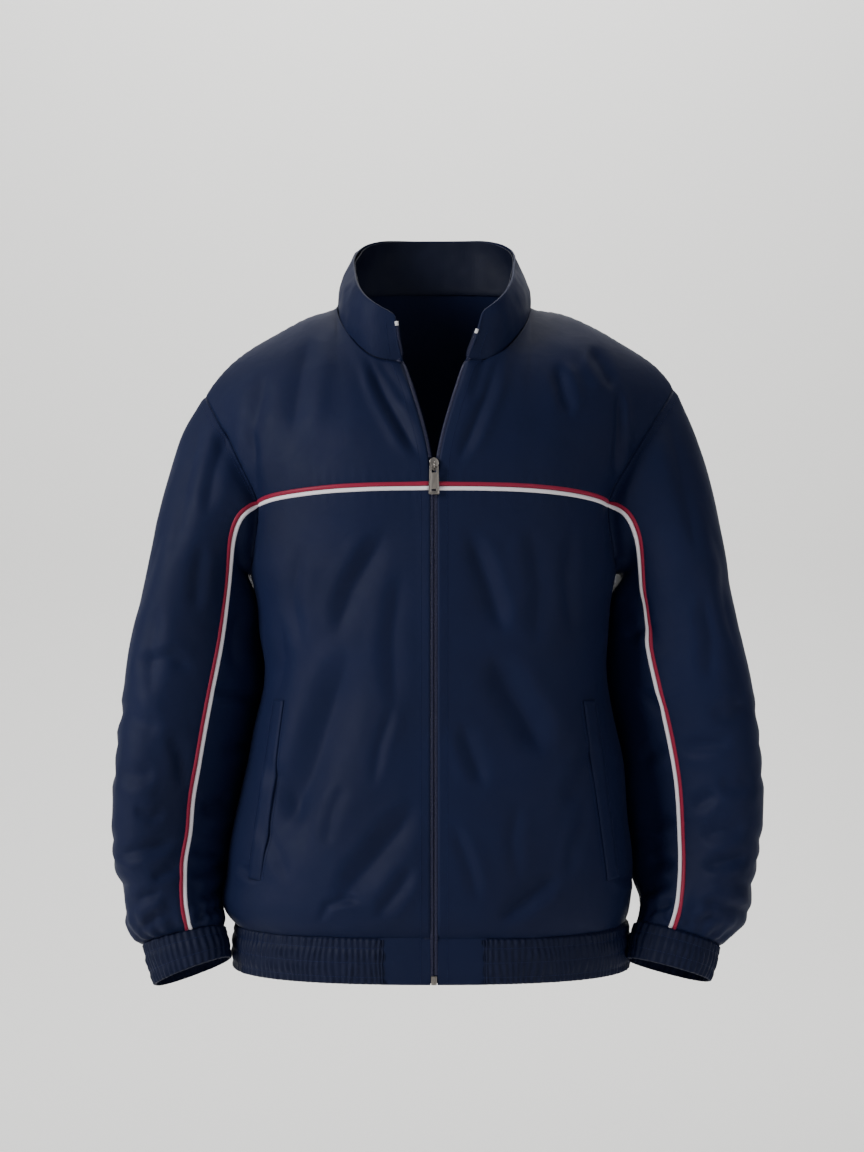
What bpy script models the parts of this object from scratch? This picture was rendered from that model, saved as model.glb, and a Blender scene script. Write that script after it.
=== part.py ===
"""A track jacket as it hangs when worn, with its front zip half open.

Each cut piece of cloth is a thin wall over one shared net of points, so neighbouring pieces meet
vertex for vertex along their seams, a hair apart. The net follows the cut: rounded levels for the
body, rings for the sleeves, a standing loop for the collar. The trim is laid on the same points.

Metres. X runs to the wearer's left, Y to the back and Z up. "right" is the wearer's right, at -X.
The origin is in the middle of the neck, at the height where the shoulders meet it.
"""
import math
from collections import namedtuple

import bpy
import numpy as np

for old in list(bpy.data.objects):
    bpy.data.objects.remove(old)

# ---- Cloth and seams -------------------------------------------------------------------------

HALF_WALL = 0.0006      # the net lies in the middle of a 1.2 mm shell wall
BAND_OUT = 0.0016       # outer side of the elastic bands, above the net
TAB_OUT = 0.0012        # outer side of the plain band ends
SEAM = 0.0003           # gap between two pieces at a seam
LAID = 0.0008           # gap between a laid trim and the cloth below it

# ---- Body: half widths and depths of its rounded levels ---------------------------------------

Level = namedtuple("Level", "z right left front back")
BODY = [
    Level(-0.694, 0.2070, 0.2016, 0.1355, 0.1350),      # hem band, lower edge
    Level(-0.671, 0.2085, 0.2035, 0.1385, 0.1385),
    Level(-0.648, 0.2050, 0.2005, 0.1365, 0.1365),      # hem seam
    Level(-0.637, 0.2140, 0.2045, 0.1430, 0.1440),      # cloth blousing over the band
    Level(-0.619, 0.2190, 0.2075, 0.1475, 0.1500),
    Level(-0.597, 0.2135, 0.2090, 0.1480, 0.1515),
    Level(-0.575, 0.2110, 0.2088, 0.1470, 0.1490),
    Level(-0.530, 0.2027, 0.2027, 0.1440, 0.1430),
    Level(-0.485, 0.1932, 0.1985, 0.1410, 0.1365),
    Level(-0.433, 0.1848, 0.1870, 0.1385, 0.1310),
    Level(-0.389, 0.1760, 0.1795, 0.1365, 0.1275),      # narrowest
    Level(-0.350, 0.1815, 0.1812, 0.1350, 0.1250),
    Level(-0.315, 0.1842, 0.1842, 0.1340, 0.1240),
    Level(-0.284, 0.1905, 0.1905, 0.1325, 0.1235),      # underarm
    Level(-0.250, 0.1905, 0.1905, 0.1305, 0.1235),
    Level(-0.190, 0.1905, 0.1905, 0.1275, 0.1220),      # yoke
]
SQUARE = 2.45           # power of the rounded level: 2 is an ellipse
BAND_ROWS = [-0.694, -0.671, -0.648]
BODY_ROWS = [-0.648, -0.637, -0.621, -0.600, -0.572, -0.540, -0.508, -0.476, -0.444, -0.412, -0.380,
             -0.348, -0.316, -0.284]
UNDERARM_Z = BODY_ROWS[-1]
ZIP_EDGE = 0.0033       # half the width that the coil needs between the two fronts
COLUMNS = 11            # cells from the centre line to the side, or to the armhole
NECK_COLUMNS = 5        # of these, the cells that run up to the neck; the rest reach the shoulder
TAB_COLUMNS = 2         # cells of the plain band end beside the zip
ARM_LOW = 3             # cells of the armhole from the underarm to the yoke seam
ARM_HIGH = 5            # cells of the armhole from the yoke seam to the shoulder

# Where each front half level of the armhole ends: at the yoke seam, and at the back as high.
Reach = namedtuple("Reach", "middle_z end_y end_z")
YOKE_SEAM = Reach(-0.197, 0.0523, -0.213)
BLADE = Reach(-0.190, 0.0620, -0.205)

# The neck seam from the zip to the middle of the back, and the shoulder seam out to the sleeve.
Point = namedtuple("Point", "x y z")
NECK = [
    Point(0.0325, -0.0800, -0.0696), Point(0.0549, -0.0780, -0.0660), Point(0.0725, -0.0690, -0.0560),
    Point(0.0887, -0.0450, -0.0355), Point(0.0979, -0.0180, -0.0190), Point(0.1015, 0.0120, -0.0020),
    Point(0.0955, 0.0420, 0.0100), Point(0.0765, 0.0670, 0.0175), Point(0.0430, 0.0840, 0.0212),
    Point(0.0000, 0.0900, 0.0220),
]
NECK_SIDE = 5           # row of NECK where the shoulder seam starts
Shoulder = namedtuple("Shoulder", "right_x right_z left_x left_z y")
SHOULDER = [
    Shoulder(0.1015, -0.0020, 0.1015, -0.0020, 0.012),
    Shoulder(0.1302, -0.0135, 0.1365, -0.0108, 0.012),
    Shoulder(0.1665, -0.0325, 0.1800, -0.0320, 0.012),
    Shoulder(0.2027, -0.0539, 0.2247, -0.0602, 0.011),
    Shoulder(0.2268, -0.0765, 0.2420, -0.0775, 0.010),
    Shoulder(0.2405, -0.0975, 0.2520, -0.0905, 0.009),
]
# Direction in which the cloth runs into the neck and shoulder seams, by column.
Lean = namedtuple("Lean", "column out back up")
FRONT_LEAN = [Lean(0, 0.28, 0.60, 0.95), Lean(2.5, 0.05, 0.65, 0.75), Lean(5, -0.15, 0.90, 0.45),
              Lean(8, 0.00, 1.00, 0.12), Lean(11, 0.22, 0.85, 0.40)]
BACK_LEAN = [Lean(0, 0.00, -0.40, 0.92), Lean(2.5, -0.05, -0.55, 0.75), Lean(5, -0.15, -0.90, 0.45),
             Lean(8, 0.00, -1.00, 0.12), Lean(11, 0.22, -0.85, 0.40)]

# ---- Collar: its upper edge, from the zip to the middle of the back ---------------------------

CollarTop = namedtuple("CollarTop", "right_x right_z left_x left_z y")
COLLAR_TOP = [
    CollarTop(0.0396, -0.0219, 0.0498, -0.0188, -0.085),
    CollarTop(0.0590, -0.0111, 0.0600, -0.0100, -0.080),
    CollarTop(0.0673, -0.0046, 0.0690, -0.0035, -0.073),
    CollarTop(0.0760, 0.0065, 0.0765, 0.0080, -0.057),
    CollarTop(0.0815, 0.0200, 0.0815, 0.0200, -0.035),
    CollarTop(0.0850, 0.0400, 0.0850, 0.0400, 0.005),
    CollarTop(0.0840, 0.0540, 0.0850, 0.0540, 0.032),
    CollarTop(0.0765, 0.0655, 0.0780, 0.0655, 0.058),
    CollarTop(0.0600, 0.0735, 0.0620, 0.0735, 0.078),
    CollarTop(0.0330, 0.0755, 0.0340, 0.0755, 0.092),
    CollarTop(0.0000, 0.0760, 0.0000, 0.0760, 0.097),
]
COLLAR_SIDE = 5         # row of COLLAR_TOP above the shoulder seam
COLLAR_ROWS = 3
COLLAR_BULGE = 0.0045   # the standing collar rounds outwards between its edges
FACING_OUT = -0.00175   # the inner collar lies inside the outer one, with the zip tape between
FACING_IN = 0.00295
COLLAR_LIFT = 0.0005    # the collar starts just above the neck seam
FACING_LIFT = 0.0035    # and its inner layer above the seam allowance

# ---- Sleeves: rings from the armhole to the cuff seam -----------------------------------------
# Each ring runs from its inner point, beside the body, to its outer point. deep is half its depth,
# tip the slope of the ring from front to back, and seam the turn from the inner point to the seam
# under the piping, in degrees.

Ring = namedtuple("Ring", "out_x out_y out_z in_x in_y in_z deep tip seam")
SLEEVE = {
    "right": [
        Ring(0.2405, 0.004, -0.0975, 0.1905, 0.004, -0.2840, 0.074, 0.00, 50),
        Ring(0.2606, 0.000, -0.1357, 0.2035, 0.004, -0.2855, 0.080, 0.00, 52),
        Ring(0.2752, 0.000, -0.1830, 0.2040, 0.012, -0.2940, 0.083, 0.00, 53),
        Ring(0.2898, -0.002, -0.2419, 0.1965, 0.026, -0.3110, 0.086, 0.00, 54),
        Ring(0.3010, -0.004, -0.2964, 0.1880, 0.036, -0.3360, 0.086, 0.00, 62),
        Ring(0.3134, -0.010, -0.3541, 0.1810, 0.040, -0.3740, 0.085, -0.03, 69),
        Ring(0.3216, -0.016, -0.4081, 0.1825, 0.035, -0.4160, 0.082, -0.08, 73),
        Ring(0.3294, -0.026, -0.4792, 0.1940, 0.030, -0.4760, 0.078, -0.12, 74),
        Ring(0.3327, -0.034, -0.5375, 0.2048, 0.028, -0.5280, 0.074, -0.16, 75),
        Ring(0.3320, -0.038, -0.5735, 0.2110, 0.024, -0.5600, 0.071, -0.20, 73),
        Ring(0.3265, -0.040, -0.5970, 0.2150, 0.018, -0.5850, 0.069, -0.23, 77),
        Ring(0.3180, -0.042, -0.6195, 0.2185, 0.008, -0.6050, 0.066, -0.25, 78),
        Ring(0.3170, -0.042, -0.6430, 0.2225, -0.014, -0.6245, 0.058, -0.26, 75),
        Ring(0.3090, -0.042, -0.6610, 0.2200, -0.032, -0.6390, 0.046, -0.26, 77),
        Ring(0.2985, -0.042, -0.6670, 0.2180, -0.042, -0.6486, 0.0335, -0.26, 80),
    ],
    "left": [
        Ring(0.2520, 0.004, -0.0905, 0.1905, 0.004, -0.2840, 0.074, 0.00, 50),
        Ring(0.2690, 0.000, -0.1280, 0.2040, 0.004, -0.2855, 0.080, 0.00, 52),
        Ring(0.2879, 0.000, -0.1830, 0.2045, 0.012, -0.2940, 0.083, 0.00, 53),
        Ring(0.3020, -0.002, -0.2440, 0.1965, 0.026, -0.3110, 0.086, 0.00, 54),
        Ring(0.3125, -0.004, -0.3000, 0.1880, 0.036, -0.3360, 0.086, 0.00, 61),
        Ring(0.3227, -0.010, -0.3541, 0.1815, 0.040, -0.3740, 0.085, -0.03, 68),
        Ring(0.3330, -0.016, -0.4050, 0.1850, 0.035, -0.4160, 0.082, -0.08, 71),
        Ring(0.3398, -0.026, -0.4792, 0.1992, 0.030, -0.4760, 0.078, -0.12, 72),
        Ring(0.3390, -0.034, -0.5375, 0.2048, 0.028, -0.5280, 0.074, -0.16, 74),
        Ring(0.3340, -0.038, -0.5735, 0.2100, 0.024, -0.5600, 0.071, -0.20, 73),
        Ring(0.3285, -0.040, -0.5980, 0.2130, 0.018, -0.5850, 0.069, -0.23, 74),
        Ring(0.3248, -0.042, -0.6200, 0.2135, 0.008, -0.6050, 0.066, -0.25, 74),
        Ring(0.3207, -0.042, -0.6395, 0.2135, -0.014, -0.6230, 0.058, -0.26, 74),
        Ring(0.3070, -0.042, -0.6560, 0.2120, -0.032, -0.6365, 0.046, -0.26, 77),
        Ring(0.2934, -0.042, -0.6692, 0.2092, -0.042, -0.6454, 0.0335, -0.26, 80),
    ],
}
CUFF_END = {
    "right": Ring(0.2850, -0.052, -0.7079, 0.2110, -0.052, -0.6801, 0.0325, -0.26, 80),
    "left": Ring(0.2820, -0.052, -0.7037, 0.1985, -0.052, -0.6811, 0.0325, -0.26, 80),
}
CUFF_ROWS = 2
CUFF_BULGE = 0.0012
SLEEVE_AT = [0, 0.5, 1, 1.5, 2, 2.75, 3.5, 4.25, 5, 5.75, 6.5, 7.25, 8, 9, 10, 11, 12, 13, 14]
SLEEVE_SQUARE = 2.2
ARMHOLE_LIFT = 0.0004   # the sleeve turns sharply at the underarm, so it starts a little further off
ARMHOLE_FADE = 4.0      # the armhole's own shape fades out over this many rings
BACK_SEAM = 66          # turn from the inner point to the seam behind, in degrees

# ---- Largest folds: soft troughs, and ridges where the height is positive ---------------------

Fold = namedtuple("Fold", "face x0 z0 x1 z1 half height")
FOLDS = [
    Fold("front", -0.046, -0.239, -0.101, -0.351, 0.022, -0.0035),
    Fold("front", -0.088, -0.385, -0.157, -0.559, 0.026, -0.0060),
    Fold("front", -0.014, -0.508, -0.101, -0.610, 0.024, -0.0040),
    Fold("front", 0.033, -0.239, 0.072, -0.351, 0.022, -0.0030),
    Fold("front", 0.056, -0.368, 0.110, -0.470, 0.024, -0.0040),
    Fold("front", 0.063, -0.625, 0.135, -0.570, 0.020, -0.0035),
    Fold("front", -0.070, -0.080, -0.015, -0.155, 0.018, -0.0030),
    Fold("back", -0.120, -0.180, -0.060, -0.360, 0.028, -0.0045),
    Fold("back", 0.110, -0.170, 0.065, -0.340, 0.028, -0.0045),
    Fold("back", -0.050, -0.400, -0.130, -0.590, 0.028, -0.0055),
    Fold("back", 0.040, -0.420, 0.140, -0.580, 0.028, -0.0050),
    Fold("back", 0.010, -0.500, -0.020, -0.620, 0.024, -0.0040),
]

# ---- Trim -------------------------------------------------------------------------------------

PIPING_WIDE = 0.0044
PIPING_HIGH = 0.0017
PIPING_SLOPE = 0.0008
PIPING_END = 0.0004             # gap between the end of a cord and the seam it runs into
PIPING_FROM_CORNER = 0.0080     # where yoke and sleeve piping stop short of their shared corner
WELT_TOP = Point(0.157, 0, -0.413)
WELT_FOOT = Point(0.181, 0, -0.594)
WELT_HALF = 0.0095
WELT_LOW = 0.0015
WELT_HIGH = 0.0026
TAPE_WIDE = 0.0085
TAPE_LOW = -0.00175
TAPE_HIGH = -0.00125
COIL_LOW = -0.0016
COIL_HIGH = 0.0003
COIL_OUT = 0.0030               # the open coil stands this far beyond the cloth edge
COIL_IN = 0.0006                # and stops this short of it
PLAY = 0.0004                   # gap between the zip's parts along the zip
STOP_LONG = 0.0041
STOP_OUT = 0.0034
STOP_LOW = -0.0018
STOP_HIGH = 0.0007
SLIDER_Z = -0.1753
SLIDER_HIGH = 0.0132
SLIDER_WIDE = 0.0098
SLIDER_TOP = 0.55               # width at its upper end, as a share
SLIDER_FOOT = 0.72
PLATE_LOW = 0.0010              # heights above the net at the slider
PLATE_HIGH = 0.0026
BEHIND_NEAR = 0.0019            # its plate behind the tapes
BEHIND_FAR = 0.0029
BEHIND_SHARE = 0.88
NECK_HALF = 0.0011              # the neck between the two plates
NECK_FROM = 0.0008
NECK_TO = 0.0052
BITE = 0.0005                   # depth by which joined solids run into each other
PULL_AXIS_Z = SLIDER_Z - 0.0012
AXIS_OUT = 0.0062               # hinge axis of the pull, in front of the net
CROWN_HALF = 0.0013
CROWN_OUT = 0.0028              # the crown's outline round the axis: beyond it, and half its height
CROWN_HIGH = 0.0036
CROWN_SHOULDER = 0.0022
CROWN_NEAR = 0.0008
CROWN_THICK = 0.0014
PULL_THICK = 0.0016
PULL_TOP_WIDE = 0.0087
PULL_FOOT_WIDE = 0.0108
PULL_LONG = 0.0290              # from the hinge axis to the foot
PULL_BAR = 0.0009               # half the thickness of its top bar
PULL_ROUND = 0.0010             # cut of its corners
WINDOW_HALF = 0.0024            # the window for the crown, below the top bar
WINDOW_LONG = 0.0072
SLOT_HALF = 0.0022              # the slot near its foot
SLOT_FROM = 0.0034
SLOT_TO = 0.0052
BOX_TOP_Z = -0.6850
BOX_FOOT_Z = -0.6960
BOX_HALF = 0.0029
BOX_FRONT = 0.0022
BOX_BEHIND = 0.0020

SIDES = {"right": -1, "left": 1}

# ---- Curves -----------------------------------------------------------------------------------


def unit(vectors):
    """Vectors of length 1."""
    length = np.linalg.norm(vectors, axis=-1, keepdims=True)
    return vectors / np.maximum(length, 1e-12)


def smooth(keys, values, at):
    """Cubic curve through the values at rising keys, with its slopes taken from the neighbours."""
    keys = np.asarray(keys, float)
    values = np.asarray(values, float)
    slopes = np.gradient(values, keys, axis=0)
    at = np.clip(np.atleast_1d(np.asarray(at, float)), keys[0], keys[-1])
    cell = np.clip(np.searchsorted(keys, at, side="right") - 1, 0, len(keys) - 2)
    step = keys[cell + 1] - keys[cell]
    t = (at - keys[cell]) / step
    if values.ndim == 2:
        t = t[:, None]
        step = step[:, None]
    start = (1 + 2 * t) * (1 - t) ** 2 * values[cell] + t * (1 - t) ** 2 * step * slopes[cell]
    end = t * t * (3 - 2 * t) * values[cell + 1] - t * t * (1 - t) * step * slopes[cell + 1]
    return start + end


def ease(t):
    """0 to 1 with a soft start and end."""
    t = np.clip(t, 0.0, 1.0)
    return t * t * (3 - 2 * t)


def spread(points, cells):
    """The points of a line, evenly spaced along it."""
    steps = np.linalg.norm(np.diff(points, axis=0), axis=1)
    along = np.concatenate([[0.0], np.cumsum(steps)])
    marks = np.linspace(0.0, along[-1], cells + 1)
    return np.stack([np.interp(marks, along, points[:, axis]) for axis in range(3)], axis=1)


def through(rows, cells):
    """A smooth curve through table rows, evenly spaced."""
    keys = np.arange(len(rows))
    fine = smooth(keys, np.array(rows, float), np.linspace(0, len(rows) - 1, 40 * len(rows)))
    return spread(fine, cells)


def hermite(start, end, start_run, end_run, cells):
    """Rows between two rows of points, leaving and arriving along the given runs."""
    rows = []
    for t in np.linspace(0.0, 1.0, cells + 1):
        rows.append((1 + 2 * t) * (1 - t) ** 2 * start + t * (1 - t) ** 2 * start_run
                    + t * t * (3 - 2 * t) * end - t * t * (1 - t) * end_run)
    return np.array(rows)


# ---- Body net ---------------------------------------------------------------------------------


def level_size(field, z):
    """One size of the body's levels at the heights z."""
    return smooth([row.z for row in BODY], [getattr(row, field) for row in BODY], z)


def level_row(side, face, middle_z, end_y, end_z):
    """One row of the body's net from the centre line outwards, as far round as end_y allows."""
    start_x = ZIP_EDGE if face == "front" else 0.0
    depth_there = float(level_size(face, end_z)[0])
    last_turn = math.acos((end_y / depth_there) ** (SQUARE / 2))
    turn = np.linspace(0.0, last_turn, 240)
    z = middle_z + (end_z - middle_z) * (turn / last_turn) ** 2
    wide = level_size(side, z)
    deep = level_size(face, z) * (-1 if face == "front" else 1)
    x = start_x + (wide - start_x) * np.sin(turn) ** (2 / SQUARE)
    y = deep * np.abs(np.cos(turn)) ** (2 / SQUARE)
    return spread(np.stack([SIDES[side] * x, y, z], axis=1), COLUMNS)


def armhole_rows(side, face, reach):
    """Rows from the underarm up to the yoke seam, or to the same height behind."""
    rows = []
    for step in range(1, ARM_LOW + 1):
        share = step / ARM_LOW
        swing = share * math.pi / 2
        middle_z = UNDERARM_Z + (reach.middle_z - UNDERARM_Z) * share
        end_z = UNDERARM_Z + (reach.end_z - UNDERARM_Z) * (1 - math.cos(swing))
        rows.append(level_row(side, face, middle_z, reach.end_y * math.sin(swing), end_z))
    return np.array(rows)


def shoulder_seam(side):
    """The shoulder seam from the neck to the sleeve."""
    sign = SIDES[side]
    rows = [(sign * getattr(row, side + "_x"), row.y, getattr(row, side + "_z")) for row in SHOULDER]
    return through(rows, COLUMNS - NECK_COLUMNS)


def neck_seam(side, face):
    """The neck seam of one side, from the middle or the zip to the shoulder seam."""
    rows = [(SIDES[side] * p.x, p.y, p.z) for p in NECK]
    keys = np.arange(len(rows))
    if face == "front":
        marks = np.linspace(0, NECK_SIDE, 200)
    else:
        marks = np.linspace(len(rows) - 1, NECK_SIDE, 200)
    return spread(smooth(keys, np.array(rows), marks), NECK_COLUMNS)


def high_rows(side, face, low_row):
    """Rows from the yoke seam, or the blades, over the chest or back to the neck and shoulder."""
    top = np.vstack([neck_seam(side, face), shoulder_seam(side)[1:]])
    long = np.linalg.norm(top - low_row, axis=1)[:, None]
    table = FRONT_LEAN if face == "front" else BACK_LEAN
    lean = smooth([row.column for row in table], [(row.out, row.back, row.up) for row in table],
                  np.arange(COLUMNS + 1))
    lean[:, 0] *= SIDES[side]
    share = ease((np.arange(COLUMNS + 1) / COLUMNS - 0.6) / 0.4)[:, None]
    forward = -0.12 if face == "front" else 0.12
    rise = np.array([0.0, 0.0, 1.0]) * (1 - share) + np.array([SIDES[side] * 0.3, forward, 0.95]) * share
    return hermite(low_row, top, unit(rise) * long, unit(lean) * long, ARM_HIGH)


def body_half(side, face):
    """All rows of one quarter of the body: below the yoke seam, and above it."""
    low = [level_row(side, face, z, 0.0, z) for z in BODY_ROWS]
    reach = YOKE_SEAM if face == "front" else BLADE
    low = np.vstack([np.array(low), armhole_rows(side, face, reach)])
    return low, high_rows(side, face, low[-1])


# ---- Sleeve net -------------------------------------------------------------------------------


def armhole_loop(front_low, front_high, back_low, back_high):
    """The armhole from the underarm up the front, over the shoulder and down the back."""
    start = len(BODY_ROWS) - 1
    front = np.vstack([front_low[start:, -1], front_high[1:, -1]])
    back = np.vstack([back_low[start:, -1], back_high[1:, -1]])
    return np.vstack([front, back[::-1][1:-1]])


def ring_turns(seam):
    """Turns of a ring's points, in radians, so that the front seam keeps its own column."""
    front_low = np.linspace(0, seam, ARM_LOW + 1)
    front_high = np.linspace(seam, 180, ARM_HIGH + 1)[1:]
    back_high = np.linspace(180, 360 - BACK_SEAM, ARM_HIGH + 1)[1:]
    back_low = np.linspace(360 - BACK_SEAM, 360, ARM_LOW + 1)[1:-1]
    return np.radians(np.concatenate([front_low, front_high, back_high, back_low]))


def ring_points(side, ring, swell=0.0):
    """The points of one sleeve ring."""
    sign = SIDES[side]
    inner = np.array([sign * ring.in_x, ring.in_y, ring.in_z])
    outer = np.array([sign * ring.out_x, ring.out_y, ring.out_z])
    across = (outer - inner) / 2
    across *= 1 + swell / np.linalg.norm(across)
    back = np.array([0.0, 1.0, ring.tip]) * (ring.deep + swell)
    turns = ring_turns(ring.seam)[:, None]
    cosine = np.sign(np.cos(turns)) * np.abs(np.cos(turns)) ** (2 / SLEEVE_SQUARE)
    sine = np.sign(np.sin(turns)) * np.abs(np.sin(turns)) ** (2 / SLEEVE_SQUARE)
    return (inner + outer) / 2 - across * cosine - back * sine


def ring_between(table, at):
    """The ring at a place between the table's rows."""
    return Ring(*smooth(np.arange(len(table)), np.array(table), at)[0])


def sleeve_net(side, loop):
    """Rings from the armhole to the cuff seam; the first is the armhole itself."""
    table = SLEEVE[side]
    own_shape = loop - ring_points(side, table[0])
    rings = []
    for at in SLEEVE_AT:
        keep = 1 - ease(at / ARMHOLE_FADE)
        rings.append(ring_points(side, ring_between(table, at)) + keep * own_shape)
    return np.array(rings)


def cuff_net(side):
    """Rings of the cuff from its seam to its edge."""
    ends = [SLEEVE[side][-1], CUFF_END[side]]
    rings = []
    for row in range(CUFF_ROWS + 1):
        share = row / CUFF_ROWS
        ring = Ring(*(np.array(ends[0]) * (1 - share) + np.array(ends[1]) * share))
        rings.append(ring_points(side, ring, CUFF_BULGE * math.sin(math.pi * share)))
    return np.array(rings)


# ---- Collar net -------------------------------------------------------------------------------


def collar_edge(side, face):
    """The collar's upper edge of one side, from the middle or the zip to above the shoulder seam."""
    sign = SIDES[side]
    rows = [(sign * getattr(row, side + "_x"), row.y, getattr(row, side + "_z")) for row in COLLAR_TOP]
    ends = (0, COLLAR_SIDE) if face == "front" else (len(rows) - 1, COLLAR_SIDE)
    fine = smooth(np.arange(len(rows)), np.array(rows), np.linspace(ends[0], ends[1], 200))
    return spread(fine, NECK_COLUMNS)


def round_the_neck(one_side):
    """A line of one side's front and back points, joined from the right zip edge to the left one."""
    right = np.vstack([one_side("right", "front"), one_side("right", "back")[::-1][1:]])
    left = np.vstack([one_side("left", "front"), one_side("left", "back")[::-1][1:]])
    return np.vstack([right, left[::-1][1:]])


def collar_net():
    """Rows of the collar from the neck seam to its upper edge, right to left."""
    base = round_the_neck(neck_seam)
    top = round_the_neck(collar_edge)
    outwards = unit((base + top) / 2 * np.array([1.0, 1.0, 0.0]))
    rows = []
    for row in range(COLLAR_ROWS + 1):
        share = row / COLLAR_ROWS
        swell = COLLAR_BULGE * math.sin(math.pi * share)
        rows.append(base * (1 - share) + top * share + outwards * swell)
    return np.array(rows)


# ---- The whole net ----------------------------------------------------------------------------


def build_net():
    """Nets of all cloth pieces. Each is a grid of rows and columns, with the turn that faces out."""
    net = {}
    quarter = {(side, face): body_half(side, face) for side in SIDES for face in ("front", "back")}
    for side, sign in SIDES.items():
        low, high = quarter[side, "front"]
        net["front_" + side] = [low, sign, False]
        net["front_yoke_" + side] = [high, sign, False]
        loop = armhole_loop(low, high, *quarter[side, "back"])
        sleeve = sleeve_net(side, loop)
        ring = len(loop)
        upper = np.arange(ARM_LOW, ring - ARM_LOW + 1)
        under = np.arange(ring - ARM_LOW, ring + ARM_LOW + 1) % ring
        net["sleeve_upper_" + side] = [sleeve[:, upper], -sign, False]
        net["sleeve_under_" + side] = [sleeve[:, under], -sign, False]
        net["cuff_" + side] = [cuff_net(side), -sign, True]
    right = np.vstack([quarter["right", "back"][0], quarter["right", "back"][1][1:]])
    left = np.vstack([quarter["left", "back"][0], quarter["left", "back"][1][1:]])
    net["back"] = [np.concatenate([right[:, ::-1], left[:, 1:]], axis=1), -1, False]
    band = {}
    for side, sign in SIDES.items():
        for face in ("front", "back"):
            band[side, face] = np.array([level_row(side, face, z, 0.0, z) for z in BAND_ROWS])
        net["hem_tab_" + side] = [band[side, "front"][:, :TAB_COLUMNS + 1], sign, False]
    ribbed = [band["right", "front"][:, TAB_COLUMNS:], band["right", "back"][:, ::-1][:, 1:],
              band["left", "back"][:, 1:], band["left", "front"][:, TAB_COLUMNS:][:, ::-1][:, 1:]]
    net["hem_band"] = [np.concatenate(ribbed, axis=1), -1, False]
    net["collar_outer"] = [collar_net(), -1, False]
    return net


def grid_normals(net):
    """Outward normals of every net, the same at points that neighbouring nets share."""
    total = {}
    keys = {}
    for name, (grid, sign, wraps) in net.items():
        normal = np.zeros_like(grid)
        rows, columns = grid.shape[:2]
        for row in range(rows - 1):
            for column in range(columns if wraps else columns - 1):
                beside = (column + 1) % columns
                corners = [(row, column), (row, beside), (row + 1, beside), (row + 1, column)]
                a, b, c, d = (grid[corner] for corner in corners)
                area = np.cross(c - a, d - b) * sign
                for corner in corners:
                    normal[corner] += area
        keys[name] = [[tuple(np.round(point, 6)) for point in line] for line in grid]
        for row in range(rows):
            for column in range(columns):
                key = keys[name][row][column]
                total[key] = total.get(key, 0) + normal[row, column]
    return {name: unit(np.array([[total[key] for key in line] for line in keys[name]])) for name in net}


def fold_height(points, normals):
    """How far the large folds move each point along its normal."""
    height = np.zeros(points.shape[:-1])
    for fold in FOLDS:
        start = np.array([fold.x0, fold.z0])
        run = np.array([fold.x1, fold.z1]) - start
        flat = points[..., [0, 2]] - start
        along = flat @ run / (run @ run)
        off = np.linalg.norm(flat - np.clip(along, 0, 1)[..., None] * run, axis=-1)
        depth = np.exp(-(off / fold.half) ** 2) * ease((1.15 - np.abs(2 * along - 1)) / 0.6)
        facing = -normals[..., 1] if fold.face == "front" else normals[..., 1]
        height += fold.height * depth * ease(facing * 2)
    return height


def lay_folds(net):
    """Press the large folds into the body panels, not into their seams at armhole, neck and hem."""
    normals = grid_normals(net)
    for name in ("front_right", "front_left", "front_yoke_right", "front_yoke_left", "back"):
        grid = net[name][0]
        clear_of_hem = ease((grid[..., 2] - BODY_ROWS[0]) / 0.02)
        clear_of_zip = 1.0 if name == "back" else ease((np.abs(grid[..., 0]) - 0.022) / 0.03)
        height = fold_height(grid, normals[name]) * clear_of_hem * clear_of_zip
        underarm = 0 if name.startswith("front_yoke") else len(BODY_ROWS) - 1
        height[underarm:, -1] = 0.0
        if name == "back":
            height[underarm:, 0] = 0.0
        if name == "back" or name.startswith("front_yoke"):
            height[-1] = 0.0
        net[name][0] = grid + normals[name] * height[..., None]


# ---- Meshes -----------------------------------------------------------------------------------

Finish = namedtuple("Finish", "colour roughness metallic")
FINISHES = {
    "shell": Finish((0.013, 0.024, 0.072), 0.55, 0.0),
    "elastic": Finish((0.012, 0.022, 0.064), 0.65, 0.0),
    "piping_red": Finish((0.27, 0.012, 0.030), 0.50, 0.0),
    "piping_white": Finish((0.83, 0.81, 0.82), 0.50, 0.0),
    "zip_tape": Finish((0.010, 0.014, 0.036), 0.80, 0.0),
    "zip_coil": Finish((0.012, 0.014, 0.036), 0.40, 0.0),
    "zip_stop": Finish((0.75, 0.75, 0.76), 0.40, 0.0),
    "zip_metal": Finish((0.36, 0.34, 0.32), 0.35, 1.0),
}


def finish(name):
    """One material of the jacket."""
    if name in bpy.data.materials:
        return bpy.data.materials[name]
    material = bpy.data.materials.new(name)
    material.use_nodes = True
    shader = material.node_tree.nodes["Principled BSDF"]
    shader.inputs["Base Color"].default_value = (*FINISHES[name].colour, 1.0)
    shader.inputs["Roughness"].default_value = FINISHES[name].roughness
    shader.inputs["Metallic"].default_value = FINISHES[name].metallic
    return material


def add_object(name, points, faces, material):
    """One named solid."""
    mesh = bpy.data.meshes.new(name)
    mesh.from_pydata([tuple(map(float, point)) for point in points], [], faces)
    mesh.shade_smooth()
    mesh.set_sharp_from_angle(angle=math.radians(40))
    mesh.materials.append(finish(material))
    piece = bpy.data.objects.new(name, mesh)
    bpy.context.collection.objects.link(piece)
    return piece


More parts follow.
